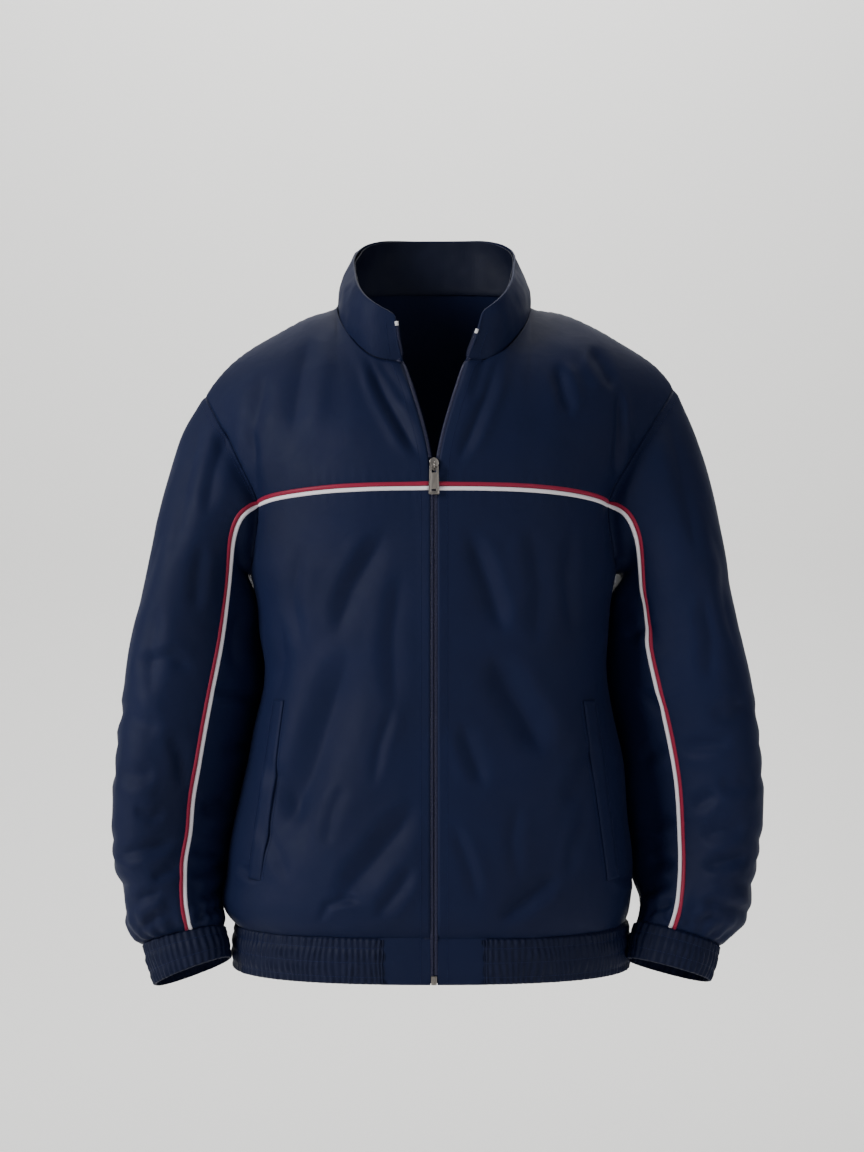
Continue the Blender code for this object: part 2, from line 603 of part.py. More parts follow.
def cut_back(grid, wraps):
    """The grid with each edge drawn in by half a seam."""
    cut = grid.copy()
    half = SEAM / 2
    cut[0] += unit(grid[1] - grid[0]) * half
    cut[-1] += unit(grid[-2] - grid[-1]) * half
    if not wraps:
        cut[:, 0] += unit(grid[:, 1] - grid[:, 0]) * half
        cut[:, -1] += unit(grid[:, -2] - grid[:, -1]) * half
    return cut


def started(grid, lift):
    """The grid with its first row drawn in."""
    return np.vstack([[grid[0] + unit(grid[1] - grid[0]) * lift], grid[1:]])


def wall(name, grid, normals, sign, wraps, out, inn, material):
    """A closed wall over a grid. Each cell is split along its longer diagonal on both skins."""
    rows, columns = grid.shape[:2]
    cut = cut_back(grid, wraps)
    outer = (cut + normals * out).reshape(-1, 3)
    inner = (cut - normals * inn).reshape(-1, 3)
    count = rows * columns
    faces = []

    def add(face, facing):
        faces.append(face if facing > 0 else face[::-1])

    for row in range(rows - 1):
        for column in range(columns if wraps else columns - 1):
            beside = (column + 1) % columns
            a, b = row * columns + column, row * columns + beside
            c, d = a + columns, b + columns
            long_ad = np.linalg.norm(outer[d] - outer[a]) > np.linalg.norm(outer[c] - outer[b])
            pair = ((a, b, d), (a, d, c)) if long_ad else ((a, b, c), (b, d, c))
            for face in pair:
                add(face, sign)
                add(tuple(corner + count for corner in face), -sign)

    def rim(loop, closed, facing):
        for here, there in zip(loop, loop[1:] + (loop[:1] if closed else [])):
            add((here, there, there + count), facing)
            add((here, there + count, here + count), facing)

    bottom = list(range(columns))
    top = [(rows - 1) * columns + column for column in range(columns)]
    if wraps:
        rim(bottom, True, -sign)
        rim(top, True, sign)
    else:
        left = [row * columns for row in range(rows)]
        right = [row * columns + columns - 1 for row in range(rows)]
        rim(bottom + right[1:] + top[::-1][1:] + left[::-1][1:-1], True, -sign)
    return add_object(name, np.vstack([outer, inner]), faces, material)


def bar(name, sections, material):
    """A closed bar through cross sections that turn the same way, with flat ends."""
    sections = [np.asarray(section) for section in sections]
    size = len(sections[0])
    points = np.vstack(sections)
    faces = []
    for row in range(len(sections) - 1):
        for column in range(size):
            a, b = row * size + column, row * size + (column + 1) % size
            faces += [(a, b, b + size), (a, b + size, a + size)]
    last = len(points) - size
    for corner in range(1, size - 1):
        faces += [(0, corner + 1, corner), (last, last + corner, last + corner + 1)]
    volume = sum(np.dot(points[a], np.cross(points[b], points[c])) for a, b, c in faces)
    if volume < 0:
        faces = [face[::-1] for face in faces]
    return add_object(name, points, faces, material)


# ---- Laid trim --------------------------------------------------------------------------------


def laid(name, path, across, normals, profile, material):
    """A strip along a path. The profile gives each corner's way across the path and its height."""
    sections = []
    for point, side_way, normal in zip(path, across, normals):
        sections.append([point + side_way * offset + normal * height for offset, height in profile])
    return bar(name, sections, material)


def piping_profile():
    """A low half round cord beside its seam."""
    low = HALF_WALL + LAID
    high = low + PIPING_HIGH
    inner, outer = SEAM / 2, PIPING_WIDE
    return [(inner, low), (outer, low), (outer - PIPING_SLOPE, high), (inner + PIPING_SLOPE, high)]


def shortened(path, across, normals, start, end):
    """The same path with its first and last stations drawn in."""
    path = path.copy()
    if start:
        path[0] += unit(path[1] - path[0]) * start
    if end:
        path[-1] += unit(path[-2] - path[-1]) * end
    return path, across, normals


def yoke_piping(net, normals, side):
    """Red above the yoke seam and white below it."""
    yoke, front = net["front_yoke_" + side][0], net["front_" + side][0]
    up = unit(yoke[1] - yoke[0])
    down = unit(front[-2] - front[-1])
    seam_normals = normals["front_yoke_" + side][0]
    for colour, way in (("red", up), ("white", down)):
        path = shortened(yoke[0], way, seam_normals, PIPING_END, PIPING_FROM_CORNER)
        laid("yoke_piping_%s_%s" % (colour, side), *path, piping_profile(), "piping_" + colour)


def sleeve_piping(net, normals, side):
    """Down the sleeve's front seam, red outside and white beside the body."""
    upper, under = net["sleeve_upper_" + side][0], net["sleeve_under_" + side][0]
    seam_normals = normals["sleeve_upper_" + side][:, 0]
    ways = {"red": unit(upper[:, 1] - upper[:, 0]), "white": unit(under[:, -2] - under[:, -1])}
    for colour, way in ways.items():
        path = shortened(upper[:, 0], way, seam_normals, PIPING_FROM_CORNER, PIPING_END)
        laid("sleeve_piping_%s_%s" % (colour, side), *path, piping_profile(), "piping_" + colour)


def pocket_welt(net, normals, side):
    """A slanted welt, laid on the front's own rows."""
    grid, normal = net["front_" + side][0], normals["front_" + side]
    sections = []
    for row, z in enumerate(BODY_ROWS):
        if not WELT_FOOT.z - 0.01 < z < WELT_TOP.z + 0.012:
            continue
        share = (z - WELT_TOP.z) / (WELT_FOOT.z - WELT_TOP.z)
        middle_x = WELT_TOP.x + (WELT_FOOT.x - WELT_TOP.x) * share
        line, line_normal = grid[row], normal[row]
        along = np.concatenate([[0.0], np.cumsum(np.linalg.norm(np.diff(line, axis=0), axis=1))])
        middle = np.interp(middle_x, np.abs(line[:, 0]), along)

        def on_cloth(offset, height):
            at = middle + offset
            point = np.array([np.interp(at, along, line[:, axis]) for axis in range(3)])
            facing = np.array([np.interp(at, along, line_normal[:, axis]) for axis in range(3)])
            return point + unit(facing) * height

        offsets = (-WELT_HALF, 0.0, WELT_HALF)
        sections.append([on_cloth(offset, WELT_LOW) for offset in offsets]
                        + [on_cloth(offset, WELT_HIGH) for offset in offsets[::-1]])
    bar("pocket_welt_" + side, sections, "shell")


# ---- Zip --------------------------------------------------------------------------------------


def zip_line(net, normals, side):
    """The front edge from the hem to the top of the collar: points, ways into the cloth, normals."""
    tab, front = "hem_tab_" + side, "front_" + side
    yoke = "front_yoke_" + side
    points, ways, facings = [], [], []
    for name, rows in ((tab, slice(0, -1)), (front, slice(0, -1)), (yoke, slice(0, -1))):
        grid = net[name][0]
        points.append(grid[rows, 0])
        ways.append(unit(grid[rows, 1] - grid[rows, 0]))
        facings.append(normals[name][rows, 0])
    collar = net["collar_outer"][0]
    edge, beside = (0, 1) if side == "right" else (-1, -2)
    points.append(collar[:, edge])
    ways.append(unit(collar[:, beside] - collar[:, edge]))
    facings.append(normals["collar_outer"][:, edge])
    return np.vstack(points), np.vstack(ways), unit(np.vstack(facings))


def part_of_line(line, low_z, high_z):
    """The stretch of a zip line between two heights, with stations exactly at both."""
    heights = line[0][:, 2]
    inside = heights[(heights > low_z + 0.001) & (heights < high_z - 0.001)]
    marks = np.concatenate([[low_z], inside, [high_z]])
    cut = [np.stack([np.interp(marks, heights, part[:, axis]) for axis in range(3)], axis=1)
           for part in line]
    return cut[0], unit(cut[1]), unit(cut[2])


def strip_profile(near, far, low, high):
    """A flat strip's corners."""
    return [(near, low), (far, low), (far, high), (near, high)]


def zip_tapes_and_coils(net, normals):
    """Tape behind each front edge; the coil closed below the slider and open above it.

    In the collar the tape is shut in between the two layers, so only its coil is made there.
    """
    lines = {side: zip_line(net, normals, side) for side in SIDES}
    slider_top = SLIDER_Z + SLIDER_HIGH / 2 + PLAY
    for side, line in lines.items():
        below_collar = part_of_line(line, BAND_ROWS[0] + PLAY, net["front_yoke_" + side][0][-1, 0, 2])
        profile = strip_profile(-SEAM, TAPE_WIDE, TAPE_LOW, TAPE_HIGH)
        laid("zip_tape_" + side, *below_collar, profile, "zip_tape")
        stop_top = line[0][-1, 2] - PLAY
        stop_foot = stop_top - STOP_LONG
        profile = strip_profile(-COIL_OUT, -COIL_IN, COIL_LOW, COIL_HIGH)
        laid("zip_coil_" + side, *part_of_line(line, slider_top, stop_foot - PLAY), profile, "zip_coil")
        profile = strip_profile(-STOP_OUT, -COIL_IN, STOP_LOW, STOP_HIGH)
        laid("zip_stop_" + side, *part_of_line(line, stop_foot, stop_top), profile, "zip_stop")
    closed = part_of_line(lines["left"], BOX_TOP_Z + PLAY, SLIDER_Z - SLIDER_HIGH / 2 - PLAY)
    middle = closed[0] * np.array([0.0, 1.0, 1.0])
    across = np.tile([1.0, 0.0, 0.0], (len(middle), 1))
    facing = unit(closed[2] * np.array([0.0, 1.0, 1.0]))
    half = ZIP_EDGE - COIL_IN
    laid("zip_coil", middle, across, facing, strip_profile(-half, half, COIL_LOW, COIL_HIGH), "zip_coil")
    return lines["left"]


def block(name, low, high, material):
    """A plain block between two corners."""
    sections = [[(x, low[1], low[2]), (x, high[1], low[2]), (x, high[1], high[2]), (x, low[1], high[2])]
                for x in (low[0], high[0])]
    return bar(name, sections, material)


def plate(name, outline, back_y, front_y, material):
    """A plate in the plane of the front, from an outline of (x, z) corners."""
    return bar(name, [[(x, y, z) for x, z in outline] for y in (back_y, front_y)], material)


def combine(piece, tool, operation):
    """Join a tool to a piece, or cut it out, and leave the tool as a guide."""
    tool.hide_render = True
    tool.display_type = "WIRE"
    change = piece.modifiers.new(operation.title(), "BOOLEAN")
    change.operation = operation
    change.solver = "EXACT"
    change.object = tool


def slider(net_y):
    """The slider: a front plate with its crown, a neck between the tapes and a back plate."""
    half, high = SLIDER_WIDE / 2, SLIDER_HIGH / 2
    side_foot, side_top = SLIDER_Z - high * SLIDER_TOP, SLIDER_Z + high * (1 - SLIDER_FOOT)
    foot, top = SLIDER_Z - high, SLIDER_Z + high
    outline = [(-half * SLIDER_FOOT, foot), (half * SLIDER_FOOT, foot), (half, side_foot),
               (half, side_top), (half * SLIDER_TOP, top), (-half * SLIDER_TOP, top),
               (-half, side_top), (-half, side_foot)]
    front_y = net_y - PLATE_HIGH
    piece = plate("zip_slider", outline, net_y - PLATE_LOW, front_y, "zip_metal")
    neck = block("guide_neck", (-NECK_HALF, net_y - PLATE_LOW - BITE, SLIDER_Z + NECK_FROM),
                 (NECK_HALF, net_y + BEHIND_NEAR + BITE, SLIDER_Z + NECK_TO), "zip_metal")
    wide, long = half * BEHIND_SHARE, high * BEHIND_SHARE
    behind = block("guide_behind", (-wide, net_y + BEHIND_NEAR, SLIDER_Z - long),
                   (wide, net_y + BEHIND_FAR, SLIDER_Z + long), "zip_metal")
    for tool in (neck, behind, crown(front_y + BITE, net_y - AXIS_OUT)):
        combine(piece, tool, "UNION")


def crown(root_y, axis_y):
    """The crown: an arch over the pull's top bar, from its side outline, outer line and inner line."""
    outer = [(root_y, -CROWN_HIGH), (axis_y - CROWN_NEAR, -CROWN_HIGH),
             (axis_y - CROWN_OUT, -CROWN_SHOULDER), (axis_y - CROWN_OUT, CROWN_SHOULDER),
             (axis_y - CROWN_NEAR, CROWN_HIGH), (root_y, CROWN_HIGH)]
    low = CROWN_HIGH - CROWN_THICK
    shoulder = CROWN_SHOULDER - CROWN_THICK / 2
    near, far = axis_y - CROWN_NEAR / 2, axis_y - CROWN_OUT + CROWN_THICK
    inner = [(root_y, -low), (near, -low), (far, -shoulder), (far, shoulder), (near, low), (root_y, low)]
    points = [(x, y, PULL_AXIS_Z + rise) for x in (-CROWN_HALF, CROWN_HALF) for y, rise in outer + inner]
    size, count = len(outer), 2 * len(outer)
    faces = []
    for here in range(size - 1):
        a, b, c, d = here, here + 1, here + 1 + size, here + size
        faces += [(a, b, c, d), (d + count, c + count, b + count, a + count)]
        faces += [(b, a, a + count, b + count), (d, c, c + count, d + count)]
    for a, d in ((0, size), (count - 1, size - 1)):
        faces.append((a, d, d + count, a + count))
    corners = np.array(points)
    volume = sum(np.dot(corners[face[0]], np.cross(corners[face[step]], corners[face[step + 1]]))
                 for face in faces for step in (1, 2))
    if volume < 0:
        faces = [face[::-1] for face in faces]
    return add_object("guide_crown", points, faces, "zip_metal")


def pull(net_y):
    """The pull tab: a flat frame whose top bar runs through the crown, with a slot near its foot."""
    axis_y = net_y - AXIS_OUT
    top, foot = PULL_AXIS_Z + PULL_BAR, PULL_AXIS_Z - PULL_LONG
    half_top, half_foot, cut = PULL_TOP_WIDE / 2, PULL_FOOT_WIDE / 2, PULL_ROUND
    outline = [(-half_foot + cut, foot), (half_foot - cut, foot), (half_foot, foot + cut),
               (half_top, top - cut), (half_top - cut, top), (-half_top + cut, top),
               (-half_top, top - cut), (-half_foot, foot + cut)]
    piece = plate("zip_pull", outline, axis_y + PULL_THICK / 2, axis_y - PULL_THICK / 2, "zip_metal")
    near, far = axis_y - PULL_THICK, axis_y + PULL_THICK
    window = block("guide_window", (-WINDOW_HALF, near, PULL_AXIS_Z - WINDOW_LONG),
                   (WINDOW_HALF, far, PULL_AXIS_Z - PULL_BAR), "zip_metal")
    slot = block("guide_slot", (-SLOT_HALF, near, foot + SLOT_FROM),
                 (SLOT_HALF, far, foot + SLOT_TO), "zip_metal")
    for tool in (window, slot):
        combine(piece, tool, "DIFFERENCE")


# ---- The jacket -------------------------------------------------------------------------------


def main():
    net = build_net()
    lay_folds(net)
    normals = grid_normals(net)
    outs = {"cuff": BAND_OUT, "hem_band": BAND_OUT, "hem_tab": TAB_OUT}
    collar = net["collar_outer"][0]
    net["collar_outer"][0] = started(collar, COLLAR_LIFT)
    for name in net:
        if name.startswith("sleeve"):
            net[name][0] = started(net[name][0], ARMHOLE_LIFT)
    for name, (grid, sign, wraps) in net.items():
        out = next((value for start, value in outs.items() if name.startswith(start)), HALF_WALL)
        material = "elastic" if out == BAND_OUT else "shell"
        wall(name, grid, normals[name], sign, wraps, out, HALF_WALL, material)
    facing = started(collar, FACING_LIFT)
    wall("collar_facing", facing, normals["collar_outer"], -1, False, FACING_OUT, FACING_IN, "shell")
    for side in SIDES:
        yoke_piping(net, normals, side)
        sleeve_piping(net, normals, side)
        pocket_welt(net, normals, side)
    line = zip_tapes_and_coils(net, normals)
    slider_y = float(np.interp(SLIDER_Z, line[0][:, 2], line[0][:, 1]))
    slider(slider_y)
    pull(slider_y)
    box_y = float(np.interp(BOX_TOP_Z, line[0][:, 2], line[0][:, 1]))
    block("zip_box", (-BOX_HALF, box_y - BOX_FRONT, BOX_FOOT_Z),
          (BOX_HALF, box_y + BOX_BEHIND, BOX_TOP_Z), "zip_metal")


main()
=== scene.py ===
"""Looks of the track jacket: cloth, elastic bands, piping, pockets, stitching and zip.

The shell panels are refined from the outer sides of their solids as one cloth, so that folds run
over the seams, and are then parted into their pieces. Creases are given in tables.
Metres. X runs to the wearer's left, Y to the back and Z up.
"""
import math
from collections import defaultdict, namedtuple

import bmesh
import bpy
import numpy as np
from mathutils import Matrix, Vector, noise
from mathutils.bvhtree import BVHTree
from mathutils.kdtree import KDTree


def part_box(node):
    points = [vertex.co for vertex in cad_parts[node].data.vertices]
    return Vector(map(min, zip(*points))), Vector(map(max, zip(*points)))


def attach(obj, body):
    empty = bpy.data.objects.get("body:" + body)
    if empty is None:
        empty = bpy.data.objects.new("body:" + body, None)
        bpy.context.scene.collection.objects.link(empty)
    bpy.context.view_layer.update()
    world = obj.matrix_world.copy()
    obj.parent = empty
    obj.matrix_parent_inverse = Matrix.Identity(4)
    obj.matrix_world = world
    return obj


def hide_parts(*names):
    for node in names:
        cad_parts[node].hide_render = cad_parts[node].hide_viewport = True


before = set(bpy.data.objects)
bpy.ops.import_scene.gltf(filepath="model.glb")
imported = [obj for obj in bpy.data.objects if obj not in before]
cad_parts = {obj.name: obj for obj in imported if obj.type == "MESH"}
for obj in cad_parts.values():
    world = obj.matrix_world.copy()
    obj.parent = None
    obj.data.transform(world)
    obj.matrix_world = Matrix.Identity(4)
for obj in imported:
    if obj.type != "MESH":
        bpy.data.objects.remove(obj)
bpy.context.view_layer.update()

SIDES = {"right": -1, "left": 1}

# ---- Camera ---------------------------------------------------------------------------------

CAMERA_AT = (-0.002, -2.6, -0.287)
LENS = 77.4                     # mm, on 36 mm over the photograph's height
PHOTO_MIDDLE = (432.0, 576.0)   # pixels
PHOTO_SCALE = 1.05e-3           # metres to a pixel at y = 0
PHOTO_AXIS = 434.0              # column of pixels where x = 0

# ---- Cloth ----------------------------------------------------------------------------------

CLOTH_THICK = 0.0007
RIM_LONG = 0.0026               # edges shorter than this run through a solid's wall
SEAM_REACH = 0.0012             # points of neighbouring panels nearer than this are one seam point
LEVELS = 3

# ---- Places and directions -------------------------------------------------------------------


def seen(points):
    """Where points lie in the photograph, in its pixels."""
    points = np.asarray(points)
    scale = PHOTO_SCALE * (points[..., 1] - CAMERA_AT[1]) / -CAMERA_AT[1]
    column = PHOTO_AXIS + points[..., 0] / scale
    row = PHOTO_MIDDLE[1] + (CAMERA_AT[2] - points[..., 2]) / scale
    return np.stack([column, row], axis=-1)


def unit(vectors):
    """Vectors of length 1."""
    vectors = np.asarray(vectors, float)
    return vectors / np.maximum(np.linalg.norm(vectors, axis=-1, keepdims=True), 1e-12)


def ease(t):
    """0 to 1 with a soft start and end."""
    t = np.clip(t, 0.0, 1.0)
    return t * t * (3 - 2 * t)


def noise_at(places):
    """Smooth noise at places."""
    return np.array([noise.noise(Vector(place)) for place in places])


NOISE_SPAN = 1.6                # brings the noise up to about -1 to 1


def wander(points, size, seed):
    """Smooth unevenness from -1 to 1 that changes over the given size in metres."""
    shift = Vector((seed * 7.31, seed * 3.17, seed * 5.71))
    return noise_at(Vector(point) / size + shift for point in points) * NOISE_SPAN


# ---- Meshes ---------------------------------------------------------------------------------


def points_of(mesh):
    """A mesh's points as an array."""
    flat = np.empty(len(mesh.vertices) * 3)
    mesh.vertices.foreach_get("co", flat)
    return flat.reshape(-1, 3)


def normals_of(mesh):
    """A mesh's point normals as an array."""
    flat = np.empty(len(mesh.vertices) * 3, np.float32)
    mesh.vertex_normals.foreach_get("vector", flat)
    return flat.reshape(-1, 3).astype(float)


def put_points(mesh, points):
    """Move a mesh's points."""
    mesh.vertices.foreach_set("co", points.ravel())
    mesh.update()


def placed(name, data):
    """A new object in the scene."""
    made = bpy.data.objects.new(name, data)
    bpy.context.collection.objects.link(made)
    return made


def mesh_object(name, points, faces):
    """A piece from points and faces, shaded smooth."""
    mesh = bpy.data.meshes.new(name)
    mesh.from_pydata([tuple(map(float, point)) for point in points], [], faces)
    mesh.shade_smooth()
    return placed(name, mesh)


def grid_faces(rows, columns, closed):
    """Quads between neighbouring rows of points; closed joins each row's end to its start."""
    return [(row * columns + c, row * columns + (c + 1) % columns,
             (row + 1) * columns + (c + 1) % columns, (row + 1) * columns + c)
            for row in range(rows - 1) for c in range(columns if closed else columns - 1)]


def faced_out(piece):
    """A closed piece with its faces turned outward."""
    work = bmesh.new()
    work.from_mesh(piece.data)
    bmesh.ops.recalc_face_normals(work, faces=work.faces[:])
    work.to_mesh(piece.data)
    work.free()
    return piece


def settled(piece):
    """The piece with its modifiers worked into its mesh."""
    bpy.context.view_layer.update()
    graph = bpy.context.evaluated_depsgraph_get()
    mesh = bpy.data.meshes.new_from_object(piece.evaluated_get(graph))
    piece.modifiers.clear()
    piece.data = mesh
    return piece


def skin(node, outer=True):
    """One side of a solid's wall, as quads."""
    work = bmesh.new()
    work.from_mesh(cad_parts[node].data)
    bmesh.ops.remove_doubles(work, verts=work.verts[:], dist=1e-5)
    rim = [face for face in work.faces if min(edge.calc_length() for edge in face.edges) < RIM_LONG]
    bmesh.ops.delete(work, geom=rim, context="FACES")
    left = set(work.faces)
    sides = []
    while left:
        grown = [left.pop()]
        for face in grown:
            for edge in face.edges:
                for beside in edge.link_faces:
                    if beside in left:
                        left.remove(beside)
                        grown.append(beside)
        sides.append(grown)
    sides.sort(key=lambda side: sum(face.calc_area() for face in side))
    keep = set(sides[-1] if outer else sides[-2])
    bmesh.ops.delete(work, geom=[face for face in work.faces if face not in keep], context="FACES")

    def longest(face):
        return max(face.edges, key=lambda edge: edge.calc_length())

    diagonals = [edge for edge in work.edges
                 if len(edge.link_faces) == 2 and all(longest(face) == edge for face in edge.link_faces)]
    bmesh.ops.dissolve_edges(work, edges=diagonals, use_verts=False)
    return work


FIT_ROUNDS = 4
FIT_SHARE = 0.9                 # how much of what is missing each round adds


def subdivided(name, work, levels):
    """A refined piece of cloth that still runs through the points of the coarse one.

    Refining draws a surface in, so the coarse points are first moved out by what it would lose.
    """
    mesh = bpy.data.meshes.new(name)
    work.to_mesh(mesh)
    work.free()
    piece = placed(name, mesh)
    smooth = piece.modifiers.new("Smooth", "SUBSURF")
    smooth.levels = levels
    smooth.render_levels = levels
    smooth.boundary_smooth = "PRESERVE_CORNERS"
    wanted = points_of(mesh)
    for _ in range(FIT_ROUNDS):
        bpy.context.view_layer.update()
        graph = bpy.context.evaluated_depsgraph_get()
        reached = points_of(piece.evaluated_get(graph).data)[:len(wanted)]
        put_points(mesh, points_of(mesh) + FIT_SHARE * (wanted - reached))
    return settled(piece)


# ---- The shell as one cloth -----------------------------------------------------------------

PANELS = ["back"] + [start + side for side in SIDES
                     for start in ("front_", "front_yoke_", "sleeve_upper_", "sleeve_under_")]


def whole_shell():
    """All shell panels welded at their seams and refined. Each face keeps its panel's number."""
    whole = bmesh.new()
    for number, name in enumerate(PANELS):
        part = skin(name)
        for face in part.faces:
            face.material_index = number
        mesh = bpy.data.meshes.new(name)
        part.to_mesh(mesh)
        part.free()
        whole.from_mesh(mesh)
        bpy.data.meshes.remove(mesh)
    bmesh.ops.remove_doubles(whole, verts=whole.verts[:], dist=SEAM_REACH)
    bmesh.ops.recalc_face_normals(whole, faces=whole.faces[:])
    return subdivided("shell", whole, LEVELS)


# ---- Creases laid from tables ---------------------------------------------------------------
# Each row is half, depth, lean and the places of the line. half is half the trough's width, in the
# places' unit, and depth its depth in millimetres. lean is from -1 to 1, the side to which the cloth
# beside the trough stands up. Places are pixels of the photograph, about a millimetre each, for the
# front and back, which is seen through from the front, and (y, z) in millimetres for a sleeve's outer
# side.

Crease = namedtuple("Crease", "half depth lean line")


def creases(table):
    """The creases of a table."""
    made = []
    for row in table.strip().splitlines():
        half, depth, lean, *places = row.split()
        line = np.array([[float(number) for number in place.split(",")] for place in places])
        made.append(Crease(float(half), float(depth), float(lean), line))
    return made


BODY_FRONT = creases("""
9 3.2 0.6 388,528 351,590 333,640
15 5.5 0.7 352,640 328,715 310,772 293,807 275,850
11 4.0 0.5 420,797 398,832 365,871 333,905
6 4.2 0.5 366,354 387,398 404,428 421,461
5 2.0 -0.4 376,357 394,382 410,408
11 3.2 -0.5 312,330 300,372 290,436
8 3.0 0.5 266,368 252,427 250,480
5 2.4 0.3 246,420 252,462 258,500
7 3.0 -0.5 416,862 398,890 374,921
4 2.2 0.4 318,926 328,905 345,899 366,903
4 2.4 0.6 239,864 249,873 262,880
9 2.2 0.4 402,560 392,640 396,720
7 1.8 -0.4 300,540 290,600 300,655
6 1.6 0.3 276,610 282,660 276,700
8 2.4 0.4 262,760 290,790 300,830
5 1.7 -0.5 395,700 380,745 372,790
6 1.8 0.5 262,820 276,850 290,885
8 3.2 -0.6 467,528 487,578 506,640
12 4.4 -0.6 488,650 508,686 530,722 546,760
8 3.0 0.5 460,720 472,752 486,790
7 3.2 0.6 495,922 527,900 562,872
6 3.6 -0.6 556,362 566,399 573,418
6 3.2 0.5 590,345 604,368 616,392
4 3.8 -0.7 618,383 620,430 617,487
4 2.2 0.5 616,872 626,880 636,876
6 2.8 -0.5 500,352 486,396 470,436 455,468
5 2.0 0.4 488,345 480,376 470,404
9 2.4 0.4 530,520 540,590 534,650
6 1.9 -0.4 575,520 566,575 572,640
7 2.2 0.5 600,735 580,775 560,812
6 2.0 -0.5 452,820 468,862 480,905
5 1.8 0.4 590,800 575,840 566,880
6 1.5 -0.3 520,800 512,840 518,884
6 1.7 0.4 346,780 332,812 326,850
""")
BODY_BACK = creases("""
12 4.0 0.5 322,372 340,450 380,540
12 4.0 -0.5 548,368 528,440 492,530
9 2.6 0.4 278,420 284,500 300,580
9 2.6 -0.4 592,420 588,500 570,590
15 5.0 0.6 380,600 350,690 318,770 292,830
14 4.6 -0.6 476,620 512,700 546,780 572,835
10 3.2 0.4 436,640 428,730 438,820
8 2.8 -0.5 400,720 384,800 352,880
8 2.8 0.5 470,760 492,830 520,890
7 2.4 0.5 270,690 286,760 282,840
7 2.4 -0.5 604,690 588,765 594,850
7 2.0 0.3 360,330 372,380 368,440
7 2.0 -0.3 508,330 498,384 504,440
10 2.4 0.3 392,440 432,452 476,438
5 2.2 0.5 300,905 318,878 344,872
5 2.2 -0.5 560,912 540,884 512,876
6 2.2 0.5 430,930 446,890 470,872
""")
SLEEVE_FRONT = {
    "right": creases("""
8 2.6 0.5 206,405 192,458 181,510 172,567
6 2.2 -0.4 203,540 198,575 195,615
7 2.4 0.4 232,420 214,470 205,520
6 2.8 -0.5 133,664 152,660 172,657 196,670
5 2.6 0.5 210,690 226,691 241,694 258,702
5 2.4 0.5 220,750 236,747 252,741
7 4.2 0.6 199,814 214,806 231,794
5 2.8 -0.4 133,806 142,813 152,816 166,810
6 3.4 0.5 112,856 132,852 152,848 177,838
5 2.6 -0.5 189,850 206,852 224,854
5 3.0 0.5 187,876 208,871 231,861
5 3.0 0.5 126,912 144,897 165,891
8 2.6 0.4 158,600 150,650 152,700
9 3.2 -0.5 120,700 138,722 164,730
6 2.4 0.5 166,730 180,752 184,790
8 3.0 0.5 116,768 134,776 158,772
5 2.0 -0.4 240,600 232,640 236,676
5 2.4 0.4 150,880 166,872 180,862
4 2.6 -0.5 140,930 156,916 172,912
4 2.2 0.4 196,900 212,894 228,884
4 2.4 0.4 192,922 206,912 222,906
"""),
    "left": creases("""
8 2.4 -0.5 664,405 680,458 690,510 700,567
6 2.4 0.4 627,640 638,632 650,626
6 2.8 0.5 640,760 652,755 666,748
6 4.0 0.6 678,749 700,746 718,744 736,741
6 3.4 0.5 690,809 704,800 717,792
5 3.0 -0.4 648,858 660,863 674,867
5 3.2 0.5 635,898 652,888 672,881
6 3.6 0.5 699,868 724,862 752,854
6 3.6 -0.5 699,900 724,908 752,911
8 2.6 0.4 702,590 712,640 708,690
9 3.0 0.5 752,700 732,716 706,712
6 2.4 -0.5 640,690 652,700 664,716
8 3.0 -0.5 756,778 738,786 716,782
6 2.8 0.5 640,812 656,822 676,824
7 3.0 0.5 696,836 722,832 750,826
4 2.4 -0.4 690,928 708,918 726,918
5 2.2 0.4 640,590 648,626 656,650
4 2.4 0.4 646,914 660,906 676,902
7 2.2 0.4 724,560 728,610 738,650
"""),
}
SLEEVE_BACK = creases("""
10 3.2 0.5 70,-170 62,-250 66,-330
8 2.8 -0.5 30,-200 24,-280 30,-360
8 3.2 0.5 -70,-420 -20,-436 30,-424 70,-440
7 3.4 -0.5 -80,-500 -30,-488 20,-500 66,-486
7 3.0 0.5 -96,-548 -50,-560 0,-552 46,-564
6 3.4 0.5 -100,-598 -60,-606 -10,-596 36,-606
5 2.8 -0.4 -96,-628 -50,-634 0,-630
6 2.6 0.4 -60,-455 -20,-466 20,-460
6 2.6 -0.4 -30,-530 10,-522 54,-534
10 2.4 0.4 -40,-150 -52,-240 -46,-320
5 2.6 0.4 -70,-585 -40,-576 -10,-580
""")

CREASE_DEPTH = 1.35             # times the depth in the tables
CREASE_END = 0.28               # share of its length over which a crease runs out at each end
CREASE_WIDTH = (0.65, 0.4)      # its width at its ends, and what its middle adds
TROUGH_POWER = 1.4
LIP_AT = 1.9                    # where the cloth beside the trough stands up, in half widths
LIP_HIGH = (0.28, 0.30)         # how high, and what lean adds or takes


